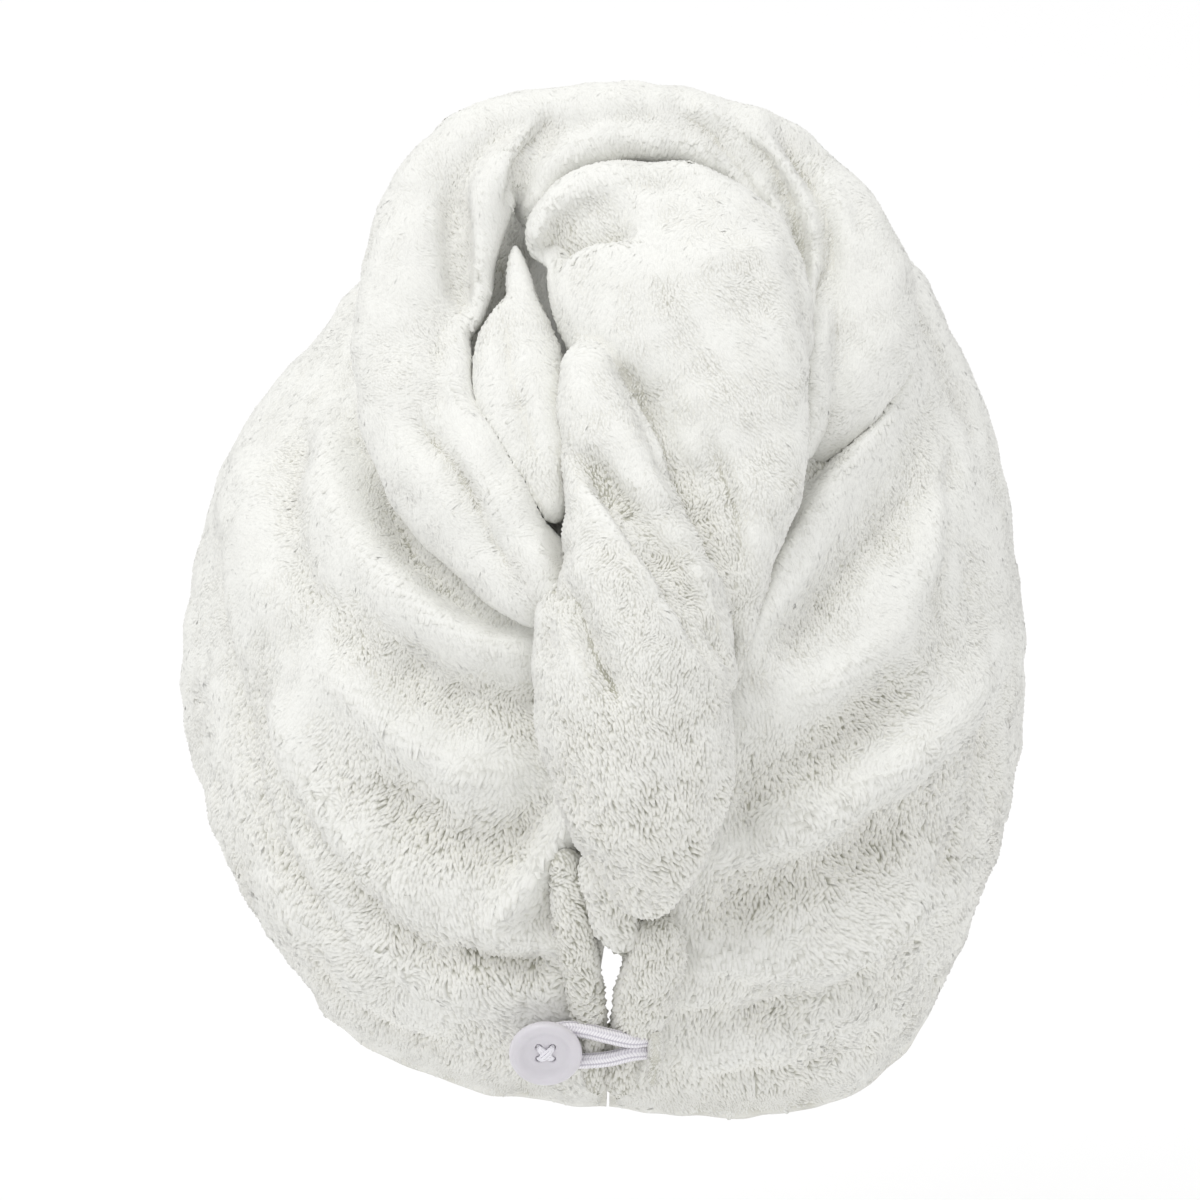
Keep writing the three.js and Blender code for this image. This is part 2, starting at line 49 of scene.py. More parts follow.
BUTTON_DIAMETER = 21.0
BUTTON_THICKNESS = 3.6
BUTTON_DISH_DEPTH = 1.7
BUTTON_HOLE_DIAMETER = 1.9
BUTTON_HOLE_SPACING = 4.0
BUTTON_EDGE_RADIUS = 1.5
DISH_FLOOR = BUTTON_THICKNESS - BUTTON_DISH_DEPTH
BUTTON_BACK = np.array([-15.6, -134.0, -107.4])
SHANK_LENGTH = 8.5
THREAD_DIAMETER = 0.8
LEG_RADIUS = 0.62
STITCH_LANES = (-0.8, 0.0, 0.8)
TWIST_PITCH = 1.4
TWIST_DEPTH = 0.05
ELASTIC_DIAMETER = 4.4
BRAID_COLUMNS = 8
BRAID_PITCH = 0.8
BRAID_HEIGHT = 0.26
BRAID_SLANT = 1.1

# How finely the pieces are meshed
HOOD_COLUMNS = 290
HOOD_ROWS = 114
INNER_ROWS_SHARE = 3
STRAND_VOXEL = 1.45
STRAND_SIDES = 28
STEPS_BY_ROW = 14
ROUNDED_ROWS = 0.6
PATH_STEPS = 24
ELASTIC_STEPS = 640
ELASTIC_SIDES = 36
BUTTON_SIDES = 96
HOLE_SIDES = 28
THREAD_SIDES = 12

# The pile stands up from the ground cloth, so the ground lies this far under the towel's outer size
PILE_DEPTH = 0.7
TUFT_LENGTH = 3.3
TUFT_WIDTH = 1.6
TUFT_HEIGHT = 0.95
TUFT_ROOT_DEPTH = 0.3
TUFTS_IN_A_PIECE = 33000
# A lock needs this much free height over it. It shrinks where the cloth bends more tightly than the
# wide bend, and is left out where the flat and the smooth normal part by more than this cosine
FREE_HEIGHT = 1.3
WIDE_BEND = 5.5
SHARP_EDGE = 0.84
# The ray that looks for cloth over a lock's spot starts this far above it and is this long
RAY_START = 0.9
RAY_LENGTH = 60.0
# The pile's density on what faces away from the back, as a share of the full one
LEAST_PILE = 0.35
LEAST_PILE_ON_HOOD = 0.3
# The hood has no locks nearer its hem and slit than the bare edge. It has none where its normal's upward
# part lies under the first limit near the hem, or under the second one further up, and none where it
# faces the middle of the hollow
BARE_EDGE = 0.8
NEAR_THE_HEM = 5.0
FACING_DOWN = (-0.5, -0.9)
HOLLOW_MIDDLE = np.array([0, 10, -60.0])
# Between these depths in the back view, locks go over to the size for a piece's lower part
LOW_FROM, LOW_TO = 35, 105
# Between which shares of the usual one a lock's length, width and height lie
LENGTH_SPREAD = (0.7, 1.3)
WIDTH_SPREAD = (0.75, 1.25)
HEIGHT_SPREAD = (0.75, 1.25)

# Each lock is a low closed pyramid with four corners and a top, spread out from this many neighbours
LOCK_FACES = np.array([[0, 1, 4], [1, 2, 4], [2, 3, 4], [3, 0, 4], [0, 2, 1], [0, 3, 2]])
NEIGHBOURS = 6

# How far the pile opens, from nearly 0 to 1, and how it varies with the height in the back view. The
# openness sets the locks' height and also paints shade into the fleece's colour, darker in the hollows and
# towards the nape. A bulge or a hollow is measured from the cloth smoothed a few times to the cloth smoothed
# many times more
FEW_ROUNDS = 4
MANY_ROUNDS = 28
OPENNESS_ON_THE_FLAT = 0.36
OPENNESS_BY_BULGE = 0.3
WIDEST_BULGE = 1.3
MORE_AT_THE_NAPE = 0.3
LESS_AT_THE_TOP = 0.1

# Soft lumps, patches, and swirls of the pile: height, wavelength in millimetres and seed of each ripple
HOOD_LUMPS = [(0.9, 34, 11), (0.45, 13, 15)]
OPENNESS_PATCHES = [(0.13, 30, 90), (0.12, 9, 95)]
SWIRLS = [(0.5, 46, 60), (0.4, 9, 70)]

# The hood in upright sections through the middle of the mound: bearing in degrees from the back towards
# the right, then how far out and how high the hem, belly, shoulder and mound lie
HOOD_SECTIONS = np.array([
    [-180, 66, -40, 74, -10, 72, 38, 56, 82],
    [-150, 74, -44, 82, -18, 76, 29, 56, 78],
    [-120, 92, -55, 100, -32, 81, 20, 55, 68],
    [-90, 105, -74, 119, -50, 102, 9, 53, 55],
    [-60, 121, -95, 138, -66, 119, 2, 60, 49],
    [-30, 148, -128, 161, -80, 132, -2, 70, 45],
    [0, 150, -140, 161, -84, 134, 0, 76, 44],
    [30, 152, -145, 162, -82, 134, 2, 74, 48],
    [60, 130, -113, 140, -70, 126, 8, 70, 58],
    [90, 110, -76, 119, -54, 111, 19, 71, 71],
    [120, 92, -56, 100, -32, 95, 27, 67, 78],
    [150, 74, -44, 82, -18, 80, 32, 60, 82],
], float)
SECTION_STATIONS = [0.0, 0.3, 0.55, 0.8, 1.0]
# The hood's slopes are measured over this many stations and degrees to either side
SLOPE_STATIONS = 0.004
SLOPE_DEGREES = 0.5

# Folds pressed into the hood's back, in the leaning back view. Each row is a path of (across, up) points,
# the widths of its left and its right flank as one walks along it, and its height, negative for a valley
BACK_FOLDS = [
    ([(-80, 27), (-73, -7), (-57, -28), (-39, -41), (-8, -47)], 7, 10, 9),
    ([(-66, 11), (-56, -15), (-37, -35), (-12, -43)], 4, 3, -5),
    ([(-66, -40), (-58, -47), (-43, -57), (-23, -61), (-4, -62)], 8, 9, -7.5),
    ([(-84, -38), (-74, -53), (-60, -66), (-45, -77), (-31, -82), (-10, -80)], 6, 6, 6),
    ([(-68, -76), (-58, -88), (-44, -98), (-28, -101), (-8, -90)], 7, 8, -6.5),
    ([(-98, -52), (-90, -74), (-76, -96), (-57, -115), (-40, -127)], 7, 6, 4.5),
    ([(-108, -33), (-100, -64), (-83, -95), (-63, -119), (-40, -140), (-24, -148)], 3, 4, -3.5),
    ([(-111, 6), (-113, -12), (-112, -34), (-104, -68), (-92, -101), (-78, -123), (-57, -143),
      (-36, -149)], 2, 6, -4),
    ([(-86, 29), (-88, -2), (-83, -38)], 5, 4, -3),
    ([(-97, 15), (-101, -14), (-94, -45)], 7, 7, 3),
    ([(0, -80), (-12, -97), (-22, -112), (-29, -121), (-35, -127)], 6, 4, 8),
    ([(-36, -122), (-27, -127), (-16, -129), (-4, -127)], 4, 3.5, 5),
    ([(-48, -128), (-38, -133), (-26, -136), (-10, -134)], 3, 3.5, -6),
    ([(-86, -119), (-60, -142), (-18, -148)], 7, 6, 2),
    ([(-88, -132), (-76, -147), (-57, -158), (-36, -162)], 3, 3, -2.5),
    ([(40, -52), (47, -33), (56, -14), (66, 2), (77, 16), (86, 32), (90, 53)], 4, 8, 7),
    ([(56, 0), (61, 5), (67, 11), (76, 21), (84, 36)], 3, 2.5, -6),
    ([(46, -52), (54, -42), (67, -27), (84, -10), (97, 12)], 5, 6, -5),
    ([(48, -68), (62, -58), (76, -48), (88, -34), (97, -12), (103, 20)], 6, 6, 4.5),
    ([(40, -46), (58, -24), (70, -2)], 3, 2.5, 2),
    ([(102, 21), (101, 0), (98, -26), (91, -42)], 3, 3, -3),
    ([(27, -99), (46, -99), (67, -91), (86, -78), (101, -64), (112, -48), (119, -30)], 7, 6, 9),
    ([(28, -93), (42, -88), (62, -76), (78, -65), (97, -49)], 9, 7, -6),
    ([(22, -124), (34, -120), (48, -114), (68, -106), (98, -87)], 7, 7, -6.5),
    ([(18, -127), (36, -133), (57, -135), (78, -129), (94, -119), (111, -104)], 7, 5, 7),
    ([(10, -153), (36, -151), (57, -149), (78, -140), (92, -128)], 4, 7, -5.5),
    ([(117, -52), (112, -72), (106, -90), (94, -119), (84, -142)], 3, 3, -2.5),
    ([(24, -169), (44, -169), (64, -165), (80, -158)], 3, 3, -2.5),
    ([(-27, 84), (-29, 58), (-27, 38), (-17, 15)], 11, 11, -10),
]
# Folds in the hood's front, in the upright front view as (right, up)
FRONT_FOLDS = [
    ([(-98, -30), (-70, 5), (-35, 45), (-8, 80)], 9, 7, 5),
    ([(-78, -38), (-50, -5), (-22, 40), (-4, 78)], 8, 6, 4),
    ([(-45, -42), (-26, 0), (-10, 45), (0, 80)], 7, 6, 3.5),
    ([(98, -30), (74, 10), (40, 52), (10, 84)], 7, 9, 5),
    ([(80, -42), (54, 0), (26, 46), (6, 80)], 6, 8, 4),
    ([(44, -42), (28, 4), (14, 48), (4, 80)], 6, 7, 3.5),
]

# Strands of wound cloth in the leaning back view: the middle's across, up and out, and the oval
# section's half width and half depth
ROLL_STRANDS = {
    "main": [
        (-7, -37, 84, 9, 10), (-20, -24, 84, 14, 13), (-37, -7, 73, 16.5, 15), (-52, 19, 57, 17, 15),
        (-55, 47, 44, 17, 15), (-50, 76, 36, 16, 14), (-36, 97, 31, 14, 13), (-12, 108, 31, 10.5, 11),
        (12, 110, 29, 9.5, 11), (37, 104, 27, 11, 12), (58, 90, 27, 14, 13), (71, 68, 31, 17, 14),
        (76, 46, 36, 17, 14), (72, 31, 41, 14, 12), (64, 18, 45, 10, 8.5), (57, 8, 50, 5, 5),
    ],
    "lower inner": [
        (-41, 50, 50, 4, 6), (-42, 36, 58, 6, 8), (-40, 22, 66, 8, 9.5), (-33, 7, 75, 8.5, 10),
        (-25, -8, 83, 8.5, 10), (-18, -22, 90, 7, 9), (-12, -34, 94, 4.5, 7),
    ],
    "upper inner": [
        (-12, 111, 33, 3, 4), (-20, 103, 38, 5.5, 7), (-28, 94, 42, 7.5, 9), (-33.5, 83, 44.5, 8, 9),
        (-34, 72, 46, 7, 9), (-35, 61, 48, 5.5, 7), (-36, 53, 50, 4, 5), (-38, 45, 53, 2.5, 4),
    ],
    "arc": [
        (-21, 77, 36, 5, 7), (-15, 93, 38, 7, 9), (0, 101, 37, 7, 9), (20, 101, 35, 6.5, 8),
        (39, 94, 33, 6, 8), (51, 78, 35, 5.5, 8), (57, 61, 40, 4, 6), (60, 47, 44, 2.5, 4),
    ],
    "pleat": [
        (29, 108, 31, 3, 5), (47, 100, 34, 5, 7), (58, 86, 35, 6, 7), (62, 68, 38, 5.5, 7),
        (62, 52, 44, 6, 8), (62, 34, 51, 6, 9), (60, 18, 58, 5, 8), (56, 4, 63, 3, 5),
    ],
}
TAIL_STRANDS = {
    "lobe": [
        (16, 89, 42, 14, 8), (16, 77, 50, 30, 14), (19.5, 60, 59, 35.5, 17), (27, 45, 64, 33, 18),
        (34, 31, 68, 27.5, 17), (38, 17, 71, 23, 16), (40.5, 2, 75, 18.5, 14.5), (41.5, -17, 80, 11, 11),
        (41, -32, 80.5, 6.5, 6.5), (39, -46, 80.5, 4, 4), (37, -58, 80, 2.5, 3),
    ],
    "hook": [
        (-17, 66, 51, 4, 6), (-15, 76, 50, 6.5, 8), (-8, 83.5, 48.5, 8.5, 9), (3, 86.5, 47, 8.5, 10),
        (15, 87, 46, 9, 10), (30, 83, 46, 11, 11), (43, 72, 48, 12, 12), (52, 55, 52, 10, 12),
        (57, 35, 57, 7, 10),
    ],
    "second": [
        (-5, 42, 68, 5.5, 8), (-3, 32, 74, 9.5, 11), (0.5, 19, 80, 13, 13), (7, 8, 85, 12, 12.5),
        (16, -6, 89, 9, 12), (23.5, -19, 93, 7.5, 10.5), (30, -31, 95, 5.5, 9), (34.5, -45, 94, 4, 7),
        (37, -59, 92, 2, 5),
    ],
    "bed": [
        (10, 26, 70, 4, 7), (15, 14, 74.5, 6, 8), (21, 1, 78.5, 6.5, 8), (27, -12, 82.5, 6, 8),
        (32, -26, 86, 5, 7), (36, -40, 87, 3, 5),
    ],
    "front": [
        (-9, 13, 75, 3, 6), (-6, 4, 83, 5.5, 9), (-2, -7, 91, 9, 12.5), (3, -19, 97, 14, 15),
        (5.5, -30, 100, 19, 17), (8, -43, 102, 24, 18), (10, -58, 103, 27, 18), (12, -77, 101, 26.5, 18),
        (13, -91, 98, 23.5, 17), (14, -103, 93, 16.5, 14.5), (13.5, -112, 88, 11, 11),
        (13, -119, 83, 5.5, 6.5),
    ],
    "lip": [
        (-10, -21, 90, 3, 5), (-13, -37, 95, 5, 8), (-13, -57, 98, 6, 9), (-9, -77, 98, 6, 8),
        (-3, -94, 94, 4, 6),
    ],
    "wisp": [
        (0, -102, 88, 6, 6), (2, -112, 84, 7.5, 6), (4.5, -122, 79, 7, 5), (7.5, -131, 73.5, 4.5, 3.5),
    ],
}
INNER_LEAF = {"leaf": [
    (-24.5, 72, 47, 2, 3), (-23.5, 61.5, 51, 4.6, 5), (-22.5, 56, 53, 5.4, 5.5), (-23, 49, 56, 10, 7),
    (-23.5, 42, 59, 12.8, 8), (-23.5, 33, 64, 14, 9), (-22, 24, 69, 13.8, 9), (-18.5, 12, 75, 11.5, 8),
    (-15.5, 1, 79, 7.5, 6.5), (-12, -9, 83, 4, 4.5),
]}
LEFT_SLIT_HEM = {"hem": [
    (-11.5, -101, 79, 4, 3.5), (-9.2, -109, 79, 5.4, 4.5), (-8.3, -119, 77, 5.8, 5),
    (-7, -128, 73.5, 5.7, 5), (-5.2, -138, 69, 5.5, 5), (-3.9, -147, 63.5, 5.6, 4.8),
    (-2.2, -156, 55.5, 5.2, 4.3), (-1, -173, 47, 4, 4.3),
]}
RIGHT_SLIT_HEM = {"hem": [
    (16, -121, 77, 7.5, 5), (16, -132, 74, 8.2, 6.5), (13.4, -142, 68.5, 8.6, 7), (11.2, -150, 62, 8, 6),
    (8, -158, 55.5, 5.5, 4.5), (5, -174, 46, 4.5, 4.5),
]}
TAB_ROLL = {"tab": [(14, -149, 63, 2.4, 3), (16, -159, 60, 2.8, 4), (15, -171, 53, 2.4, 3)]}

# Creases on the wound pieces, in rows like those of the hood's folds
ROLL_FOLDS = [
    ([(-56, 30), (-49, 18), (-39, 4), (-31, -13), (-22, -30)], 2, 5, -4),
    ([(-42, 94), (-42, 82), (-41, 70), (-40, 58), (-37, 48)], 4, 4.5, -3.5),
    ([(16, 114), (31, 105), (42, 92), (49, 79), (51, 68)], 2.5, 2, -2.5),
    ([(31, 110), (45, 99), (54, 85), (58, 70), (59, 57)], 2.5, 2, -3),
    ([(45, 111), (56, 99), (64, 83), (66, 67), (63, 56), (61, 46)], 3.5, 2, -4),
    ([(56, 108), (67, 96), (74, 83), (77, 70)], 3, 3, -1.8),
    ([(-12, 112), (-19, 101), (-24, 90), (-26, 78)], 4, 2.5, -4),
]
TAIL_FOLDS = [
    ([(-6, 45), (2, 41), (9, 31), (15, 18), (22, 2), (31, -17), (36, -33), (38, -47)], 2, 3, -2.5),
    ([(-9, 12), (-1, 4), (6, -7), (15, -19), (23, -31), (30, -45), (34, -58)], 3.5, 2, -5),
    ([(29, 20), (33, 8), (38, -7), (41, -26)], 3, 3, -3),
    ([(-10, -22), (-8.5, -34), (-3, -47), (3, -56), (8, -62)], 6, 2.2, -6),
    ([(-22, 60), (-17, 65), (-12, 70.5), (-4, 74.5), (6, 75.5), (12, 75)], 4.5, 2.5, -8),
    ([(-18, 72), (-11, 79), (1, 82), (14, 80)], 4, 4, -3.5),
]
LEAF_FOLDS = [
    ([(-26, 58), (-27, 46), (-25, 32), (-20, 16), (-15, 3)], 3, 3, -2.2),
]

# The elastic's middle line round the button's shank
ELASTIC_ROUTE = np.array([
    (14, -130, -106.1), (9, -132.8, -104.9), (3, -133.2, -103.3), (-4, -132, -102.1), (-8.6, -131.2, -101.9),
    (-12.2, -130.6, -102.8), (-15.6, -130.2, -103.8), (-20.4, -129.8, -105), (-21.8, -129.6, -107.8),
    (-20.4, -129.4, -110.8), (-15.6, -129.6, -112.8), (-8, -130.6, -113.2), (-3.8, -131.6, -112.6),
    (2.6, -132.4, -111.4), (9, -132, -109.9), (14, -129.6, -110.7),
], float)

# The nape slit: where its middle lies across the back view and half its width, by height in that view.
# It draws the cloth apart within a reach, and fades out between two heights at its upper end
SLIT_REACH = 14.0
SLIT_FADE = (-104, -116)
SLIT = np.array([
    (-190, 2.2, 0.3), (-165, 2.2, 0.5), (-155, 2.7, 1.6), (-147, 3.2, 3.0), (-138, 3.6, 3.6),
    (-131, 3.4, 2.4), (-122, 3, 0),
])

rng = np.random.default_rng(7)


# Ways through space

def from_back_view(across, up, out):
    """Point of the leaning back view: x is across, and y and z are up and out turned by the lean."""
    sin, cos = math.sin(BACK_VIEW_LEAN), math.cos(BACK_VIEW_LEAN)
    across, up, out = np.broadcast_arrays(*(np.asarray(v, float) for v in (across, up, out)))
    return np.stack([across, up * sin - out * cos, up * cos + out * sin], -1)


TOWARDS_VIEWER = from_back_view(0, 0, 1)
DOWN_THE_VIEW = from_back_view(0, -1, 0)


def in_back_view(points):
    """(across, up) of points in the leaning back view: x, and the part of y and z that runs up it."""
    sin, cos = math.sin(BACK_VIEW_LEAN), math.cos(BACK_VIEW_LEAN)
    return np.stack([points[..., 0], points[..., 1] * sin + points[..., 2] * cos], -1)


def height_in_view(points):
    """How far up the leaning back view points lie."""
    return in_back_view(points)[..., 1]


def smooth_step(low, high, x):
    """0 below low, 1 above high, and 3 s^2 - 2 s^3 between them."""
    s = np.clip((x - low) / (high - low), 0, 1)
    return s * s * (3 - 2 * s)


def unit(vectors):
    """Vectors over their own lengths."""
    return vectors / np.maximum(np.linalg.norm(vectors, axis=-1, keepdims=True), 1e-9)


def across_normal(vectors, normals):
    """The part of the vectors that lies in the surface: vector less its share along the normal."""
    return vectors - (vectors * normals).sum(-1, keepdims=True) * normals


def smooth_through(stations, values, at):
    """Cubic through the values at the stations; each slope is the mean of the chords beside it."""
    stations, values, at = (np.asarray(v, float) for v in (stations, values, at))
    spare = (1,) * (values.ndim - 1)
    chords = np.diff(values, axis=0) / np.diff(stations).reshape(-1, *spare)
    slopes = np.concatenate([chords[:1], (chords[1:] + chords[:-1]) / 2, chords[-1:]])
    i = np.clip(np.searchsorted(stations, at, side="right") - 1, 0, len(stations) - 2)
    span = (stations[i + 1] - stations[i]).reshape(at.shape + spare)
    s = (at - stations[i]).reshape(at.shape + spare) / span
    to_end = 3 * s ** 2 - 2 * s ** 3
    leans = (s ** 3 - 2 * s ** 2 + s) * span * slopes[i] + (s ** 3 - s ** 2) * span * slopes[i + 1]
    return values[i] * (1 - to_end) + values[i + 1] * to_end + leans


def ripple(points, wavelength, seed, waves=12):
    """Soft noise, mostly between -1 and 1: sine waves in random directions, added up."""
    own = np.random.default_rng(seed)
    ways = unit(own.normal(size=(waves, 3)))
    lengths = wavelength * own.uniform(0.7, 1.5, waves)
    phases = own.uniform(0, 2 * math.pi, waves)
    total = np.zeros(points.shape[:-1])
    for way, length, phase in zip(ways, lengths, phases):
        total += np.sin(points @ way * (2 * math.pi / length) + phase)
    return total / math.sqrt(waves)


def ripples(points, terms):
    """Several ripples added up, each with its own height."""
    return sum(height * ripple(points, wavelength, seed) for height, wavelength, seed in terms)


def ripple_vectors(points, wavelength, seed):
    """Soft noise in each of x, y and z."""
    return np.stack([ripple(points, wavelength, seed + k) for k in range(3)], -1)


def angles_round(sides):
    """Even angles once round."""
    return 2 * np.pi * np.arange(sides) / sides


def run_along(route):
    """How far along the route each of its points lies."""
    return np.concatenate([[0], np.cumsum(np.linalg.norm(np.diff(route, axis=0), axis=1))])


# Folds

def smooth_path(points, steps):
    """Points at even steps along the smooth curve through the given ones, spaced by their chords."""
    points = np.asarray(points, float)
    run = run_along(points)
    return smooth_through(run / run[-1], points, np.linspace(0, 1, steps + 1))


def fold_height(folds, places):
    """Summed height of the folds at places of a view: a rounded ridge about each path, with its own
    width on each side, which dies away over the first and last quarter of the path."""
    total = np.zeros(places.shape[:-1])
    for points, left, right, height in folds:
        path = smooth_path(points, PATH_STEPS)
        reach = 3 * max(left, right)
        near = np.all((places > path.min(0) - reach) & (places < path.max(0) + reach), axis=-1)
        spots = places[near]
        nearest = np.full(len(spots), np.inf)
        side = np.zeros(len(spots))
        along = np.zeros(len(spots))
        for k in range(PATH_STEPS):
            step = path[k + 1] - path[k]
            off = spots - path[k]
            s = np.clip((off @ step) / (step @ step), 0, 1)
            away = off - s[:, None] * step
            distance = np.hypot(away[:, 0], away[:, 1])
            nearer = distance < nearest
            nearest = np.where(nearer, distance, nearest)
            side = np.where(nearer, step[0] * off[:, 1] - step[1] * off[:, 0], side)
            along = np.where(nearer, (k + s) / PATH_STEPS, along)
        ends = smooth_step(0, 0.25, along) * smooth_step(0, 0.25, 1 - along)
        total[near] += height * ends * np.exp(-(nearest / np.where(side > 0, left, right)) ** 2)
    return total


def folds_from_behind(folds, points, normals):
    """Height of folds given in the back view, fading where the cloth turns away from it."""
    facing = smooth_step(0.05, 0.4, normals @ TOWARDS_VIEWER)
    return facing * fold_height(folds, in_back_view(points))


def folds_from_the_front(folds, points, normals):
    """Height of folds given in the front view, fading where the cloth turns away from it."""
    return smooth_step(0.05, 0.4, normals[..., 1]) * fold_height(folds, points[..., [0, 2]])


# Meshes

def new_object(name, data):
    """An object that shows the data, in the scene."""
    made = bpy.data.objects.new(name, data)
    bpy.context.scene.collection.objects.link(made)
    return made


def new_piece(name, points, faces, uv=None):
    """A smooth mesh object at the origin, from points in millimetres and faces of one size."""
    mesh = bpy.data.meshes.new(name)
    faces = np.ascontiguousarray(faces, np.int32)
    mesh.vertices.add(len(points))
    mesh.vertices.foreach_set("co", (np.asarray(points) * METRE).astype(np.float32).ravel())
    mesh.loops.add(faces.size)
    mesh.loops.foreach_set("vertex_index", faces.ravel())
    mesh.polygons.add(len(faces))
    mesh.polygons.foreach_set("loop_start", np.arange(0, faces.size, faces.shape[1], dtype=np.int32))
    mesh.polygons.foreach_set("use_smooth", np.ones(len(faces), bool))
    if uv is not None:
        layer = mesh.uv_layers.new(name="OFBake")
        layer.data.foreach_set("uv", np.asarray(uv, np.float32)[faces.ravel()].ravel())
    mesh.update(calc_edges=True)
    return new_object(name, mesh)


def read_mesh(piece):
    """Points in millimetres, normals, edges and triangles of a piece's mesh."""
    mesh = piece.data
    mesh.calc_loop_triangles()

    def rows(items, key, width, kind):
        values = np.empty(len(items) * width, kind)
        items.foreach_get(key, values)
        return values.reshape(-1, width)

    points = rows(mesh.vertices, "co", 3, np.float32).astype(float) / METRE
    normals = rows(mesh.vertices, "normal", 3, np.float32).astype(float)
    edges = rows(mesh.edges, "vertices", 2, np.int32)
    return points, normals, edges, rows(mesh.loop_triangles, "vertices", 3, np.int32)


def keep_on_points(piece, name, values):
    """Keeps a value for each point of a piece's mesh as an attribute, which its material reads."""
    layer = piece.data.attributes.new(name, "FLOAT", "POINT")
    layer.data.foreach_set("value", values.astype(np.float32))


def move_points(piece, points):
    """Puts new points, in millimetres, into a piece's mesh."""
    piece.data.vertices.foreach_set("co", (points * METRE).astype(np.float32).ravel())
    piece.data.update()


def apply_modifiers(piece):
    """Replaces a piece's mesh by what its modifiers make of it."""
    bpy.context.view_layer.update()
    graph = bpy.context.evaluated_depsgraph_get()
    made = bpy.data.meshes.new_from_object(piece.evaluated_get(graph))
    before = piece.data
    piece.modifiers.clear()
    piece.data = made
    bpy.data.meshes.remove(before)
    made.polygons.foreach_set("use_smooth", np.ones(len(made.polygons), bool))


def drop(piece):
    """Removes a helper object and its mesh."""
    mesh = piece.data
    bpy.data.objects.remove(piece)
    bpy.data.meshes.remove(mesh)


def cut_away(piece, cutter):
    """Takes the cutter's shape out of a piece, and removes the cutter."""
    boolean = piece.modifiers.new("cut", "BOOLEAN")
    boolean.operation = "DIFFERENCE"
    boolean.solver = "MANIFOLD"
    boolean.object = cutter
    apply_modifiers(piece)
    drop(cutter)


def stacked(parts):
    """Points and triangles of several parts as one: each part's triangles count on from the last."""
    points, triangles, count = [], [], 0
    for some_points, some_triangles in parts:
        points.append(some_points)
        triangles.append(some_triangles + count)
        count += len(some_points)
    return np.concatenate(points), np.concatenate(triangles)


def surface_of(piece):
    """Points and triangles of a piece's mesh."""
    points, _, _, triangles = read_mesh(piece)
    return points, triangles


def relaxed(values, edges, rounds, share=0.5):
    """Each round moves every point's value a share of the way to the mean of its neighbours'."""
    values = np.array(values, float)
    count = np.maximum(np.bincount(edges.ravel(), minlength=len(values)), 1)
    for _ in range(rounds):
        columns = values.reshape(len(values), -1)
        means = np.empty_like(columns)
        for k in range(columns.shape[1]):
            total = np.bincount(edges[:, 0], columns[edges[:, 1], k], len(values))
            total += np.bincount(edges[:, 1], columns[edges[:, 0], k], len(values))
            means[:, k] = total / count
        values = values + share * (means.reshape(values.shape) - values)
    return values


def grid_faces(rows, columns, first=0):
    """Quads of an open grid of points, row after row."""
    row, column = np.meshgrid(np.arange(rows - 1), np.arange(columns - 1), indexing="ij")
    a = first + row * columns + column
    return np.stack([a, a + 1, a + 1 + columns, a + columns], -1).reshape(-1, 4)


def split_quads(quads):
    """Each quad as two triangles."""
    return np.concatenate([quads[:, [0, 1, 2]], quads[:, [0, 2, 3]]])


def fan(first, second, hub):
    """Triangles from pairs of points to one hub."""
    return np.stack([first, second, np.full_like(first, hub)], -1)


def tube_faces(rings, sides):
    """Triangles of a tube of rings, one after the other, and of a fan at each end. The middles of the
    first and the last fan are the two points after the rings."""
    side = np.arange(sides)
    nxt = (side + 1) % sides
    ring = (np.arange(rings - 1) * sides)[:, None]
    quads = np.stack([ring + side, ring + side + sides, ring + nxt + sides, ring + nxt], -1)
    last = (rings - 1) * sides
    start, end = rings * sides, rings * sides + 1
    caps = [fan(side, nxt, start)[:, [2, 0, 1]], fan(last + nxt, last + side, end)]
    return np.concatenate([split_quads(quads.reshape(-1, 4)), *caps])


# The hood

def hood_bearings(columns):
    """Bearings from 0 round to 360, closer together at the back: even - 25 sin(even)."""
    even = np.linspace(0, 360, columns + 1)
    return even - 25 * np.sin(np.radians(even))


def hood_base(bearings, stations):
    """Upright section at each bearing: a smooth curve from hem through belly, shoulder and mound to
    the crown, mirrored past it, turned about the upright line through the crown."""
    wrapped = np.concatenate([HOOD_SECTIONS[-3:], HOOD_SECTIONS, HOOD_SECTIONS[:3]])
    wrapped[:3, 0] -= 360
    wrapped[-3:, 0] += 360
    sizes = smooth_through(wrapped[:, 0], wrapped[:, 1:], (bearings + 180) % 360 - 180)
    hem, belly, shoulder, mound = (sizes[:, k:k + 2] for k in (0, 2, 4, 6))
    crown = np.broadcast_to([0.0, CROWN_HEIGHT], mound.shape)
    mirror = np.array([-1, 1])
    knots = np.stack([hem, belly, shoulder, mound, crown, mound * mirror, shoulder * mirror])
    places = SECTION_STATIONS + [2 - SECTION_STATIONS[3], 2 - SECTION_STATIONS[2]]
    section = smooth_through(places, knots, stations)
    angle = np.radians(bearings)
    out, up = section[..., 0], section[..., 1]
    return np.stack([out * np.sin(angle), CROWN_FORWARD - out * np.cos(angle), up], -1)


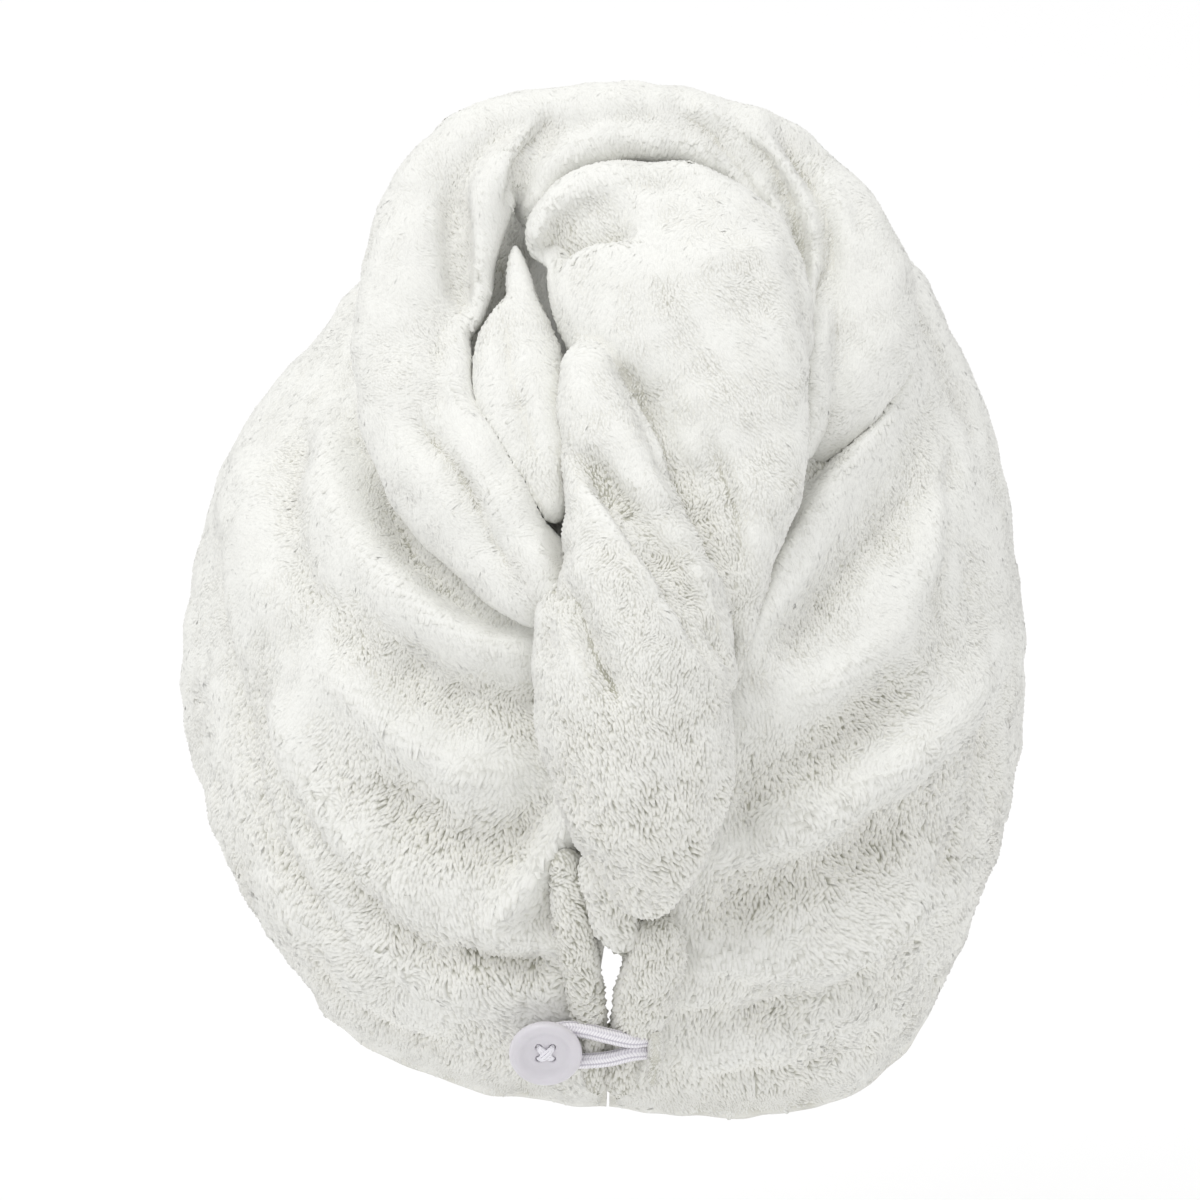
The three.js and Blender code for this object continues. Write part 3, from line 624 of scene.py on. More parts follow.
def hood_layers(columns, rows):
    """The hood's outer and inner face on one grid of rows from the hem to just under the crown. The
    outer face is the base moved along its normal by its folds and by soft lumps; the inner face lies a
    cloth's thickness in and follows the ridges more weakly."""
    bearings = hood_bearings(columns)
    stations = np.arange(rows) / rows
    base = hood_base(bearings, stations)
    around = hood_base(bearings + SLOPE_DEGREES, stations) - hood_base(bearings - SLOPE_DEGREES, stations)
    upwards = hood_base(bearings, stations + SLOPE_STATIONS)
    upwards = upwards - hood_base(bearings, np.maximum(stations - SLOPE_STATIONS, 0))
    normals = unit(np.cross(around, upwards))
    folds = folds_from_behind(BACK_FOLDS, base, normals)
    folds += folds_from_the_front(FRONT_FOLDS, base, normals)
    outer = base + normals * (folds + ripples(base, HOOD_LUMPS) - PILE_DEPTH)[..., None]
    inner = base + normals * (np.minimum(folds, 0.7 * folds) - CLOTH_THICKNESS)[..., None]
    outer[:, -1] = outer[:, 0]
    inner[:, -1] = inner[:, 0]
    return outer, inner


def slit_at(up):
    """Where the slit's middle lies across the back view, and half its width, at heights in that view."""
    return np.interp(up, SLIT[:, 0], SLIT[:, 1]), np.interp(up, SLIT[:, 0], SLIT[:, 2])


def part_at_slit(layer):
    """Draws the seam's two columns apart into the slit: the cloth near it is shifted to the slit's
    middle, and its two edges by half the slit's width to either side."""
    up = height_in_view(layer)
    middle, half = slit_at(up)
    at_the_back = layer[..., 1] < 0
    reach = np.exp(-(layer[..., 0] / SLIT_REACH) ** 2) * at_the_back * smooth_step(*SLIT_FADE, up)
    side = np.where(np.arange(layer.shape[1]) < layer.shape[1] / 2, 1.0, -1.0)
    shift = reach * (middle + side * half)
    shift[:, 0] = np.where(up[:, 0] < SLIT[-1, 0], shift[:, 0], 0)
    shift[:, -1] = np.where(up[:, -1] < SLIT[-1, 0], shift[:, -1], 0)
    layer[..., 0] += shift


def closed_shell(outer, inner, row_share):
    """Points and triangles of a shell with a crown point, from its outer and inner grid. The inner grid
    keeps every so many rows, and fans of triangles join the two along the hem and the slit. Rows whose
    first and last points coincide are closed."""
    rows, columns = outer.shape[:2]
    inner = inner[::row_share]
    few = len(inner)
    crown_outer = outer[-1].mean(0) + (outer[-1].mean(0) - outer[-2].mean(0)) * 0.5
    crown_inner = inner[-1].mean(0) + np.array([0, 0, 1.0])
    points = np.concatenate([outer.reshape(-1, 3), inner.reshape(-1, 3), [crown_outer, crown_inner]])
    start = rows * columns
    top_outer = start + few * columns
    top_inner = top_outer + 1

    def at(row, column):
        return row * columns + column

    def at_inner(row, column):
        return start + row * columns + column

    parts = [split_quads(grid_faces(rows, columns)), split_quads(grid_faces(few, columns, start))[:, ::-1]]
    c = np.arange(columns - 1)
    parts.append(fan(at(rows - 1, c), at(rows - 1, c + 1), top_outer))
    parts.append(fan(at_inner(few - 1, c + 1), at_inner(few - 1, c), top_inner))
    parts.append(np.stack([at(0, c + 1), at(0, c), at_inner(0, c)], -1))
    parts.append(np.stack([at(0, c + 1), at_inner(0, c), at_inner(0, c + 1)], -1))
    for column, turned in ((0, False), (columns - 1, True)):
        for big in range(few - 1):
            fine = np.arange(big * row_share, (big + 1) * row_share)
            hub = at_inner(big, column)
            last = [[at((big + 1) * row_share, column), at_inner(big + 1, column), hub]]
            wall = np.concatenate([fan(at(fine, column), at(fine + 1, column), hub), last])
            parts.append(wall[:, ::-1] if turned else wall)
    return points, np.concatenate(parts)


def weld(points, triangles, distance=1e-4):
    """Points at one place become one, and triangles that lose a corner or that cancel out are dropped."""
    keys = np.round(points / distance).astype(np.int64)
    _, first, same = np.unique(keys, axis=0, return_index=True, return_inverse=True)
    triangles = same.ravel()[triangles]
    whole = (triangles[:, 0] != triangles[:, 1]) & (triangles[:, 1] != triangles[:, 2])
    whole &= triangles[:, 2] != triangles[:, 0]
    triangles = triangles[whole]
    corners = np.sort(triangles, axis=1)
    _, index, count = np.unique(corners, axis=0, return_inverse=True, return_counts=True)
    return points[first], triangles[count[index.ravel()] == 1]


def filled(outer):
    """Points and triangles of the block under the outer grid: fans of triangles close it at the crown
    and across the hem."""
    rows, columns = outer.shape[:2]
    points = np.concatenate([outer.reshape(-1, 3), [outer[0].mean(0)], [outer[-1].mean(0)]])
    hem, crown = len(points) - 2, len(points) - 1
    c = np.arange(columns - 1)
    last = (rows - 1) * columns
    fans = [fan(c + 1, c, hem), fan(last + c, last + c + 1, crown)]
    return points, np.concatenate([split_quads(grid_faces(rows, columns)), *fans])


def make_hood():
    """The hood's shell, parted at the slit, and the solid block that its outer face encloses, which the
    pieces on it are cut to."""
    outer, inner = hood_layers(HOOD_COLUMNS, HOOD_ROWS)
    block = new_piece("hood_block", *weld(*filled(outer)))
    part_at_slit(outer)
    part_at_slit(inner)
    hood = new_piece("hood_cloth", *weld(*closed_shell(outer, inner, INNER_ROWS_SHARE)))
    return hood, block


# Wound cloth

def strand(rows, grow):
    """Points and triangles of an oval section carried along the smooth path through the rows, with its
    wide axis in the back view and square to the path; both ends are rounded as a circle is."""
    rows = np.asarray(rows, float)
    steps = STEPS_BY_ROW * len(rows)
    rows_at = np.linspace(0, 1, len(rows))
    even = np.arange(1, steps) / steps
    along = (1 - np.cos(np.pi * even)) / 2 * 0.35 + 0.65 * even
    knots = from_back_view(*rows[:, :3].T)
    middle = smooth_through(rows_at, knots, along)
    ahead = smooth_through(rows_at, knots, np.clip(along + 0.001, 0, 1))
    tangent = unit(ahead - smooth_through(rows_at, knots, np.clip(along - 0.001, 0, 1)))
    wide = unit(np.cross(tangent, TOWARDS_VIEWER))
    deep = unit(np.cross(wide, tangent))
    share = ROUNDED_ROWS / len(rows)
    from_end = np.clip(np.minimum(along, 1 - along) / share, 0, 1)
    round_end = np.sqrt(1 - (1 - from_end) ** 2)[:, None]
    half = round_end * (smooth_through(rows_at, rows[:, 3:], along) + grow)
    angle = angles_round(STRAND_SIDES)
    rings = middle[:, None] + wide[:, None] * (half[:, 0:1] * np.cos(angle))[..., None]
    rings = rings + deep[:, None] * (half[:, 1:2] * np.sin(angle))[..., None]
    points = np.concatenate([rings.reshape(-1, 3), knots[:1], knots[-1:]])
    return points, tube_faces(steps - 1, STRAND_SIDES)


def bundle(name, strands, voxel):
    """Several strands as one surface: their closed forms are joined by an even voxel remesh."""
    piece = new_piece(name, *stacked(strand(rows, -PILE_DEPTH) for rows in strands.values()))
    remesh = piece.modifiers.new("one surface", "REMESH")
    remesh.mode = "VOXEL"
    remesh.voxel_size = voxel * METRE
    apply_modifiers(piece)
    return piece


def cut_clear_of(piece, others):
    """Cuts away what would lie in a neighbour or within a gap of it."""
    for other in others:
        points, normals, _, _ = read_mesh(other)
        grown = new_object("grown", other.data.copy())
        move_points(grown, points + PIECE_GAP * normals)
        cut_away(piece, grown)


def keep_largest_body(piece):
    """Drops loose crumbs: every point takes the lowest number in its body, and the commonest stays."""
    points, _, edges, triangles = read_mesh(piece)
    label = np.arange(len(points))
    while True:
        lowest = label.copy()
        np.minimum.at(lowest, edges[:, 0], label[edges[:, 1]])
        np.minimum.at(lowest, edges[:, 1], label[edges[:, 0]])
        lowest = lowest[lowest]
        if np.array_equal(lowest, label):
            break
        label = lowest
    body = np.bincount(label).argmax()
    if np.all(label == body):
        return
    kept = np.flatnonzero(label == body)
    number = np.full(len(points), -1)
    number[kept] = np.arange(len(kept))
    triangles = number[triangles[label[triangles[:, 0]] == body]]
    name, before = piece.name, piece.data
    whole = new_piece(name + "_body", points[kept], triangles)
    piece.data = whole.data
    bpy.data.objects.remove(whole)
    bpy.data.meshes.remove(before)


def wound_piece(name, strands, folds, others, voxel, lumps, seed):
    """A piece of wound cloth: its strands as one surface, softened, with its creases and soft lumps, cut
    clear of others."""
    piece = bundle(name, strands, voxel)
    points, _, edges, _ = read_mesh(piece)
    points = relaxed(points, edges, 3)
    move_points(piece, points)
    points, normals, edges, _ = read_mesh(piece)
    height = folds_from_behind(folds, points, normals)
    height += lumps * ripples(points, [(1, 30, seed), (0.55, 12, seed + 5)])
    move_points(piece, points + normals * height[:, None])
    cut_clear_of(piece, others)
    keep_largest_body(piece)
    return piece


# Pile

def pile_openness_and_painted_shade(points, normals, edges, low_offset, high_offset):
    """How far the pile opens at each point, from nearly 0 on a smooth crest to 1 in a valley, where the
    locks part: from how far the cloth lies under the mean of a wide neighbourhood, more towards the nape,
    with soft noise. A piece adds one offset in its lower part and another in its upper part. The value sets
    the locks' height and the painted shade in the fleece's colour, darker where it is higher."""
    smooth = relaxed(points, edges, FEW_ROUNDS)
    wide = relaxed(smooth, edges, MANY_ROUNDS)
    bulge = ((smooth - wide) * normals).sum(-1)
    up = height_in_view(points)
    offset = low_offset + (high_offset - low_offset) * smooth_step(-25, 35, up)
    bulge = np.clip(bulge, -WIDEST_BULGE, WIDEST_BULGE)
    opened = OPENNESS_ON_THE_FLAT + offset - OPENNESS_BY_BULGE * bulge
    opened += MORE_AT_THE_NAPE * smooth_step(30, 120, -up) - LESS_AT_THE_TOP * smooth_step(-50, 20, up)
    return np.clip(opened + ripples(points, OPENNESS_PATCHES), 0.06, 1)


def covered(spots, normals, tree):
    """Whether each spot lies inside a piece or right under one: a ray along its normal meets cloth from
    within, or within the free height."""
    starts = (spots + RAY_START * normals) * METRE
    found = np.zeros(len(spots), bool)
    for k, (start, normal) in enumerate(zip(starts.tolist(), normals.tolist())):
        way = Vector(normal)
        _, hit_normal, _, distance = tree.ray_cast(Vector(start), way, RAY_LENGTH * METRE)
        found[k] = distance is not None and (hit_normal.dot(way) > 0 or distance < FREE_HEIGHT * METRE)
    return found


def scatter(points, triangles, weights, count):
    """Spots on triangles: even steps through their summed area times weight, each step with a random
    part, and two random shares that place the spot in its triangle. Returns triangles and shares."""
    a, b, c = (points[triangles[:, k]] for k in range(3))
    area = np.linalg.norm(np.cross(b - a, c - a), axis=-1) / 2
    summed = np.cumsum(area * weights[triangles].mean(-1))
    picks = (np.arange(count) + rng.random(count)) / count * summed[-1]
    chosen = np.clip(np.searchsorted(summed, picks), 0, len(triangles) - 1)
    root = np.sqrt(rng.random(count))
    second = rng.random(count)
    return chosen, np.stack([1 - root, root * (1 - second), root * second], -1)


def spread_apart(spots, normals, flows, rounds=4):
    """Moves the spots along the cloth until they lie evenly: each is pushed away from its six nearest
    neighbours, more the nearer they are. Lengths along the flow count half, as locks are long."""
    flow = unit(across_normal(flows, normals))
    tree = KDTree(len(spots))
    for k, spot in enumerate(spots.tolist()):
        tree.insert(spot, k)
    tree.balance()
    near = np.array([[k for _, k, _ in tree.find_n(spot, NEIGHBOURS + 1)] for spot in spots.tolist()])[:, 1:]
    for _ in range(rounds):
        off = spots[:, None] - spots[near]
        off -= 0.5 * (off * flow[:, None]).sum(-1, keepdims=True) * flow[:, None]
        distance = np.linalg.norm(off, axis=-1, keepdims=True)
        room = distance.mean(1, keepdims=True) * 1.15
        push = (off / np.maximum(distance, 1e-6) * np.clip(room - distance, 0, None)).mean(1)
        push += (push * flow).sum(-1, keepdims=True) * flow
        spots = spots + 0.6 * across_normal(push, normals)
    return spots


def tufts(name, spots, normals, flows, openness, sizes):
    """Locks of the pile, pressed together like cobbles. Each is a low closed pyramid along its flow: four
    corners under the ground, closer together downstream, and a top a little downstream of its middle. It
    is shaded softly, as rounded. Where the pile opens, the locks stand higher and look rounder."""
    count = len(spots)
    openness = openness[:, None]
    length = TUFT_LENGTH * sizes[:, None] * rng.uniform(*LENGTH_SPREAD, (count, 1))
    width = TUFT_WIDTH * sizes[:, None] * rng.uniform(*WIDTH_SPREAD, (count, 1))
    flow = unit(across_normal(flows, normals))
    side = np.cross(flow, normals)
    skew = rng.normal(0, 0.12, (count, 1))
    back = -0.45 * length * flow - TUFT_ROOT_DEPTH * normals
    front = length * (0.55 * flow + skew * side) - TUFT_ROOT_DEPTH * normals
    height = TUFT_HEIGHT * sizes[:, None] * (0.3 + 0.85 * openness)
    height = height * rng.uniform(*HEIGHT_SPREAD, (count, 1))
    top = 0.14 * length * flow + height * normals
    corners = spots[:, None] + np.stack([back - side * width / 2, back + side * width / 2,
                                         front + side * width / 3, front - side * width / 3, top], 1)
    tilt = 0.1 + 0.45 * openness
    shading = unit(np.stack([normals - tilt * (flow + side), normals - tilt * (flow - side),
                             normals + tilt * (flow + side), normals + tilt * (flow - side), normals], 1))
    faces = (np.arange(count)[:, None, None] * 5 + LOCK_FACES).reshape(-1, 3)
    by_corner = shading[:, LOCK_FACES]
    by_corner[:, 4:] = -normals[:, None, None]
    # The chart of each lock carries painted shade for the tuft material: across, its share towards the
    # crest, and along, from its root corners to its top
    painted_shade_crest_share = np.clip(1 - openness[:, 0] ** 1.3 + rng.normal(0, 0.05, count), 0.03, 0.97)
    along = np.array([0.03, 0.03, 0.03, 0.03, 0.97])
    uv = np.stack(np.broadcast_arrays(painted_shade_crest_share[:, None], along), -1).reshape(-1, 2)
    piece = new_piece(name, corners.reshape(-1, 3), faces, uv)
    piece.data.normals_split_custom_set(by_corner.reshape(-1, 3))
    return piece


def pile_on(name, piece, tree, count, weight_of, flow_of, offsets, scales):
    """The pile of one piece, in as many objects as its number of tufts needs. There are more tufts where
    the pile opens, none along a sharp edge, and on the far side they stand further apart and are larger.
    How far the pile opens is kept on the ground cloth as an attribute for its colour, where it paints shade
    into the valleys and towards the nape. The offsets of that and the scales of the locks are given for the
    piece's lower and upper part."""
    points, normals, edges, triangles = read_mesh(piece)
    openness = pile_openness_and_painted_shade(points, normals, edges, *offsets)
    # Kept for the ground's painted shade, darker where the pile opens
    keep_on_points(piece, "pile_openness_and_painted_shade", openness)
    weights, reach = weight_of(points, normals)
    low_scale, high_scale = scales
    low = smooth_step(LOW_FROM, LOW_TO, -height_in_view(points))
    scales = high_scale + low * (low_scale - high_scale)
    dense = weights * (0.5 + 0.5 * smooth_step(0.1, 0.5, openness)) / (scales * reach) ** 2
    chosen, shares = scatter(points, triangles, dense, count)

    def between(values):
        return (values[triangles[chosen]] * shares.reshape(shares.shape + (1,) * (values.ndim - 1))).sum(1)

    spots, spot_normals = between(points), unit(between(normals))
    a, b, c = (points[triangles[chosen, k]] for k in range(3))
    bare = (unit(np.cross(b - a, c - a)) * spot_normals).sum(-1) < SHARP_EDGE
    bare |= covered(spots, spot_normals, tree)
    turn = normals[triangles[chosen, 1]] - normals[triangles[chosen, 0]]
    bend = np.linalg.norm(b - a, axis=-1) / np.linalg.norm(turn + 1e-6, axis=-1)
    sizes = between(scales) * np.clip(between(weights), LEAST_PILE, 1) ** -0.3
    sizes *= np.clip(bend / WIDE_BEND, 0.45, 1) * between(reach)
    kept = ~bare
    spots, spot_normals, sizes, opened = (v[kept] for v in (spots, spot_normals, sizes, between(openness)))
    flows = flow_of(spots, spot_normals)
    spots = spread_apart(spots, spot_normals, flows)
    made = []
    for k in range(0, len(spots), TUFTS_IN_A_PIECE):
        some = slice(k, k + TUFTS_IN_A_PIECE)
        made.append(tufts(f"{name}_{len(made) + 1}", spots[some], spot_normals[some], flows[some],
                          opened[some], sizes[some]))
    return made


def outer_face_only(points, normals):
    """Weight and size of the tufts on the hood: full on the outer face as seen from behind, less dense
    round the front, small along the hem and the slit, and none on the inner face or on an edge."""
    away = ((points - HOLLOW_MIDDLE) * normals).sum(-1)
    bearing = np.degrees(np.arctan2(points[:, 0], CROWN_FORWARD - points[:, 1]))
    bearings, heights = HOOD_SECTIONS[:, 0], HOOD_SECTIONS[:, 2]
    over_the_hem = points[:, 2] - np.interp(bearing, [*bearings, 180], [*heights, heights[0]])
    across, up = in_back_view(points).T
    middle, half = slit_at(up)
    at_the_slit = (points[:, 1] < 0) & (up < SLIT[-1, 0])
    beside_the_slit = np.where(at_the_slit, np.abs(across - middle) - half, np.inf)
    on_the_face = (away > 0) & (over_the_hem > BARE_EDGE) & (beside_the_slit > BARE_EDGE)
    on_the_face &= normals[:, 2] > np.where(over_the_hem < NEAR_THE_HEM, *FACING_DOWN)
    reach = 0.42 + 0.58 * smooth_step(1.5, 10, over_the_hem)
    reach *= 0.5 + 0.5 * smooth_step(0.5, 5, beside_the_slit)
    seen_from_behind = smooth_step(-0.45, 0.2, normals @ TOWARDS_VIEWER)
    weight = LEAST_PILE_ON_HOOD + (1 - LEAST_PILE_ON_HOOD) * seen_from_behind
    return np.where(on_the_face, weight, 0.0), reach


def everywhere(points, normals):
    """Weight and size of the tufts on the other pieces: full, less dense on what faces away from the
    back."""
    seen_from_behind = smooth_step(-0.4, 0.1, normals @ TOWARDS_VIEWER)
    return LEAST_PILE + (1 - LEAST_PILE) * seen_from_behind, np.ones(len(points))


def swirled(base_flow, spots):
    """A flow turned about by broad swirls and by the fine waves of the clumps."""
    for height, wavelength, seed in SWIRLS:
        base_flow = base_flow + height * ripple_vectors(spots, wavelength, seed)
    return base_flow


def flow_on_hood(spots, normals):
    """Down and away from the middle of the back."""
    away = spots * np.array([0.006, 0, 0])
    return swirled(unit(DOWN_THE_VIEW + away), spots)


def flow_on_roll(spots, normals):
    """Inwards to the middle of the ring, and down."""
    middle = from_back_view(10, 40, 40)
    return swirled(unit(middle - spots) * 0.8 + DOWN_THE_VIEW * 0.5, spots)


def flow_on_tail(spots, normals):
    """Down the view, and a little to the right."""
    return swirled(DOWN_THE_VIEW + np.array([0.15, 0, 0]), spots)


# Small parts

def sweep(name, route, radius, sides, relief=None):
    """A tube: a circle carried along the route, to whose radius a relief may add by run and angle. The
    first axis of the section lies square to the route and to the way straight back."""
    tangent = unit(np.gradient(route, axis=0))
    outwards = np.array([0.0, -1.0, 0.0])
    wide = unit(np.cross(tangent, outwards))
    deep = unit(np.cross(wide, tangent))
    angle = angles_round(sides)
    radius = np.full((len(route), sides), float(radius))
    if relief is not None:
        radius += relief(run_along(route)[:, None], angle[None])
    rings = route[:, None] + radius[..., None] * (wide[:, None] * np.cos(angle)[:, None]
                                                  + deep[:, None] * np.sin(angle)[:, None])
    points = np.concatenate([rings.reshape(-1, 3), route[:1], route[-1:]])
    return new_piece(name, points, tube_faces(len(route), sides))


def braid_relief(run, angle):
    """Herringbone braid: columns of slanted stitches round the cord, leaning one way and the other by
    turns, with a groove between columns. The relief lies about the cord's own radius."""
    place = angle / (2 * np.pi) * BRAID_COLUMNS
    across = place % 1
    hump = np.sin(np.pi * across) ** 0.5
    slant = np.where(place % 2 < 1, across, 1 - across)
    stitch = (0.5 + 0.5 * np.cos(2 * np.pi * (run / BRAID_PITCH + BRAID_SLANT * slant))) ** 0.7
    return BRAID_HEIGHT * (hump * (0.3 + 0.7 * stitch) - 0.5)


def make_elastic():
    """The braided elastic round the button's shank. How deep each point lies in the braid is kept as an
    attribute for its colour, which paints shade into the grooves."""
    route = smooth_path(ELASTIC_ROUTE, ELASTIC_STEPS)
    elastic = sweep("elastic_braid", route, ELASTIC_DIAMETER / 2, ELASTIC_SIDES, braid_relief)
    relief = braid_relief(run_along(route)[:, None], angles_round(ELASTIC_SIDES)[None])
    keep_on_points(elastic, "braid_depth", np.append(relief / BRAID_HEIGHT - 0.5, [0, 0]))
    return elastic


def placed_on_nape(points):
    """Points made about +Y, with the back of the button at the origin, turned to face out of the nape."""
    return points * np.array([1, -1, -1]) + BUTTON_BACK


def turned(name, profile, sides):
    """A closed form turned about Y from (radius, height) points, whose first and last lie on the axis."""
    profile = np.asarray(profile, float)
    angle = angles_round(sides)
    radius, height = profile[1:-1, :1], profile[1:-1, 1:]
    rings = np.stack([radius * np.cos(angle), np.repeat(height, sides, 1), radius * np.sin(angle)], -1)
    points = np.concatenate([rings.reshape(-1, 3), [[0, profile[0, 1], 0], [0, profile[-1, 1], 0]]])
    return new_piece(name, placed_on_nape(points), tube_faces(len(rings), sides))


def button_profile():
    """The button's section: flat back, round edge, a broad rim that slopes softly into the dish, and the
    dish's flat floor. Radius and height in millimetres."""
    radius = BUTTON_DIAMETER / 2
    floor = DISH_FLOOR
    edge = np.radians(np.linspace(-90, 62, 18))
    middle = np.array([radius - BUTTON_EDGE_RADIUS, BUTTON_EDGE_RADIUS])
    round_edge = middle + BUTTON_EDGE_RADIUS * np.stack([np.cos(edge), np.sin(edge)], -1)
    round_edge[:, 1] *= (BUTTON_THICKNESS - 0.15) / round_edge[-1, 1]
    rim = [[middle[0], BUTTON_THICKNESS], [radius - 2.2, BUTTON_THICKNESS - 0.06],
           [radius - 2.8, BUTTON_THICKNESS - 0.24], [radius - 3.3, BUTTON_THICKNESS - 0.58]]
    dish = [[radius - 3.8, floor + 0.62], [radius - 4.3, floor + 0.3], [radius - 4.9, floor + 0.1],
            [radius - 5.8, floor], [0.8, floor]]
    return np.concatenate([[[0, 0], [4, 0]], round_edge, rim, dish, [[0, floor]]])


def hole_places():
    """The four holes, round the middle of the button."""
    half = BUTTON_HOLE_SPACING / 2
    return np.array([(-half, -half), (half, -half), (half, half), (-half, half)])


def make_button():
    """The button, with its four holes bored through and their edges softened."""
    button = turned("button_moulded", button_profile(), BUTTON_SIDES)
    radius = BUTTON_HOLE_DIAMETER / 2
    floor = DISH_FLOOR
    bore = [(0, -2), (radius + 0.5, -2), (radius + 0.5, 0), (radius + 0.12, 0.16), (radius, 0.4),
            (radius, floor - 0.4), (radius + 0.1, floor - 0.14), (radius + 0.42, floor + 0.02),
            (radius + 0.42, floor + 0.9), (0, floor + 0.9)]
    for across, up in hole_places():
        drill = turned("drill", bore, HOLE_SIDES)
        points = read_mesh(drill)[0]
        move_points(drill, points + np.array([across, 0, up]))
        cut_away(button, drill)
    button.data.set_sharp_from_angle(angle=math.radians(50))
    return button


def make_thread():
    """The sewing thread: three stitches over each diagonal, from hole to hole, and four legs down to the
    cloth, all tubes in one mesh."""
    parts = []
    corners = hole_places()
    for pair, (start, end) in enumerate(((corners[0], corners[2]), (corners[1], corners[3]))):
        way = unit(end - start)
        beside = np.array([-way[1], way[0]])
        for turn, lane in enumerate(STITCH_LANES):
            s = np.linspace(0, 1, 33)
            swell = np.sin(np.pi * s)
            flat = start + (end - start) * s[:, None] + beside * (lane * (0.45 + 0.55 * swell))[:, None]
            rise = DISH_FLOOR - 0.3 + (1.0 + 0.5 * pair + (0.3 if turn == 1 else 0)) * swell ** 0.5
            route = placed_on_nape(np.stack([flat[:, 0], rise, flat[:, 1]], -1))
            parts.append(sweep(f"stitch_{pair}_{turn}", route, THREAD_DIAMETER / 2, THREAD_SIDES,
                               twist_relief))
    for k, (across, up) in enumerate(corners):
        heights = np.linspace(DISH_FLOOR - 0.4, -SHANK_LENGTH, 40)
        drawn_in = 1 - 0.6 * smooth_step(0, 2, -heights)
        leg = placed_on_nape(np.stack([across * drawn_in, heights, up * drawn_in], -1))
        parts.append(sweep_upright(f"leg_{k}", leg, LEG_RADIUS))
    return joined("button_thread_twisted", parts)


def twist_relief(run, angle):
    """Three plies laid round each other: the radius swells three times a turn, and turns along it."""
    return TWIST_DEPTH * np.cos(3 * angle + 2 * np.pi * run / TWIST_PITCH)


def sweep_upright(name, route, radius):
    """A leg of thread that runs straight out of the cloth. It leans by a trace, so that the axes of its
    section are defined."""
    tilted = route + np.array([0.0, 0.0, 1.0]) * np.linspace(0, 0.02, len(route))[:, None]
    return sweep(name, tilted, radius, THREAD_SIDES)


def joined(name, parts):
    """Several meshes as one piece."""
    points, triangles = stacked(surface_of(part) for part in parts)
    for part in parts:
        drop(part)
    return new_piece(name, points, triangles)


# Materials

def linear(hex_colour):
    """An sRGB hex colour as linear red, green, blue and alpha."""
    values = [int(hex_colour[k:k + 2], 16) / 255 for k in (1, 3, 5)]
    return [v / 12.92 if v <= 0.04045 else ((v + 0.055) / 1.055) ** 2.4 for v in values] + [1.0]


def add_node(tree, kind, settings=(), links=()):
    """Adds a node: settings are its properties and input values by name, links its inputs' sources."""
    node = tree.nodes.new(kind)
    for key, value in dict(settings).items():
        if key in node.inputs:
            node.inputs[key].default_value = value
        else:
            setattr(node, key, value)
    for key, source in dict(links).items():
        tree.links.new(source, node.inputs[key])
    return node


def new_material(name, finish):
    """A node material, its node tree and its Principled shader, whose inputs have the finish's values."""
    material = bpy.data.materials.new(name)
    material.use_nodes = True
    tree = material.node_tree
    shader = tree.nodes["Principled BSDF"]
    for key, value in finish.items():
        shader.inputs[key].default_value = value
    return material, tree, shader


def set_ramp(node, stops):
    """Puts colour stops, (position, hex), on a colour ramp."""
    ramp = node.color_ramp
    while len(ramp.elements) < len(stops):
        ramp.elements.new(0.5)
    for element, (position, colour) in zip(ramp.elements, stops):
        element.position = position
        element.color = linear(colour)


def fibre_grain(tree, shader, size, depth, strength):
    """Fibres as fine noise of a size in millimetres, which stand up from the surface by a depth in
    millimetres. Returns the noise. Single fibres are too fine to show in the render, so the size is that
    of small clumps of them, as coarse as it needs to be to show."""
    place = add_node(tree, "ShaderNodeTexCoord").outputs["Object"]
    fibre = add_node(tree, "ShaderNodeTexNoise", {"Scale": 1 / (size * METRE), "Detail": 2.0},
                     {"Vector": place}).outputs["Fac"]
    bump = add_node(tree, "ShaderNodeBump", {"Strength": strength, "Distance": depth * METRE},
                    {"Height": fibre})
    tree.links.new(bump.outputs["Normal"], shader.inputs["Normal"])
    return fibre


MATT_FIBRE = {"Roughness": 1.0, "Specular IOR Level": 0.0}


def fleece_ground_material():
    """Coral fleece, knitted polyester with a long brushed pile. The ground under the tufts: matt white
    fibres, with painted shade that makes it dimmer and greener from the crests towards the valleys of the
    folds, where it lies between the locks."""
    material, tree, shader = new_material("coral fleece, brushed ground", MATT_FIBRE)
    opened = add_node(tree, "ShaderNodeAttribute", {"attribute_name": "pile_openness_and_painted_shade"}).outputs["Fac"]
    colour = add_node(tree, "ShaderNodeValToRGB", (), {"Fac": opened})
    # Painted shade: near white where the pile lies closed on the crests, dimmer and greener where it opens
    # in the valleys
    set_ramp(colour, [(0.06, "#F0F0EC"), (0.45, "#E4E3DC"), (0.95, "#BEBDB0")])
    tree.links.new(colour.outputs["Color"], shader.inputs["Base Color"])
    fibre_grain(tree, shader, size=1.1, depth=0.5, strength=0.6)
    return material


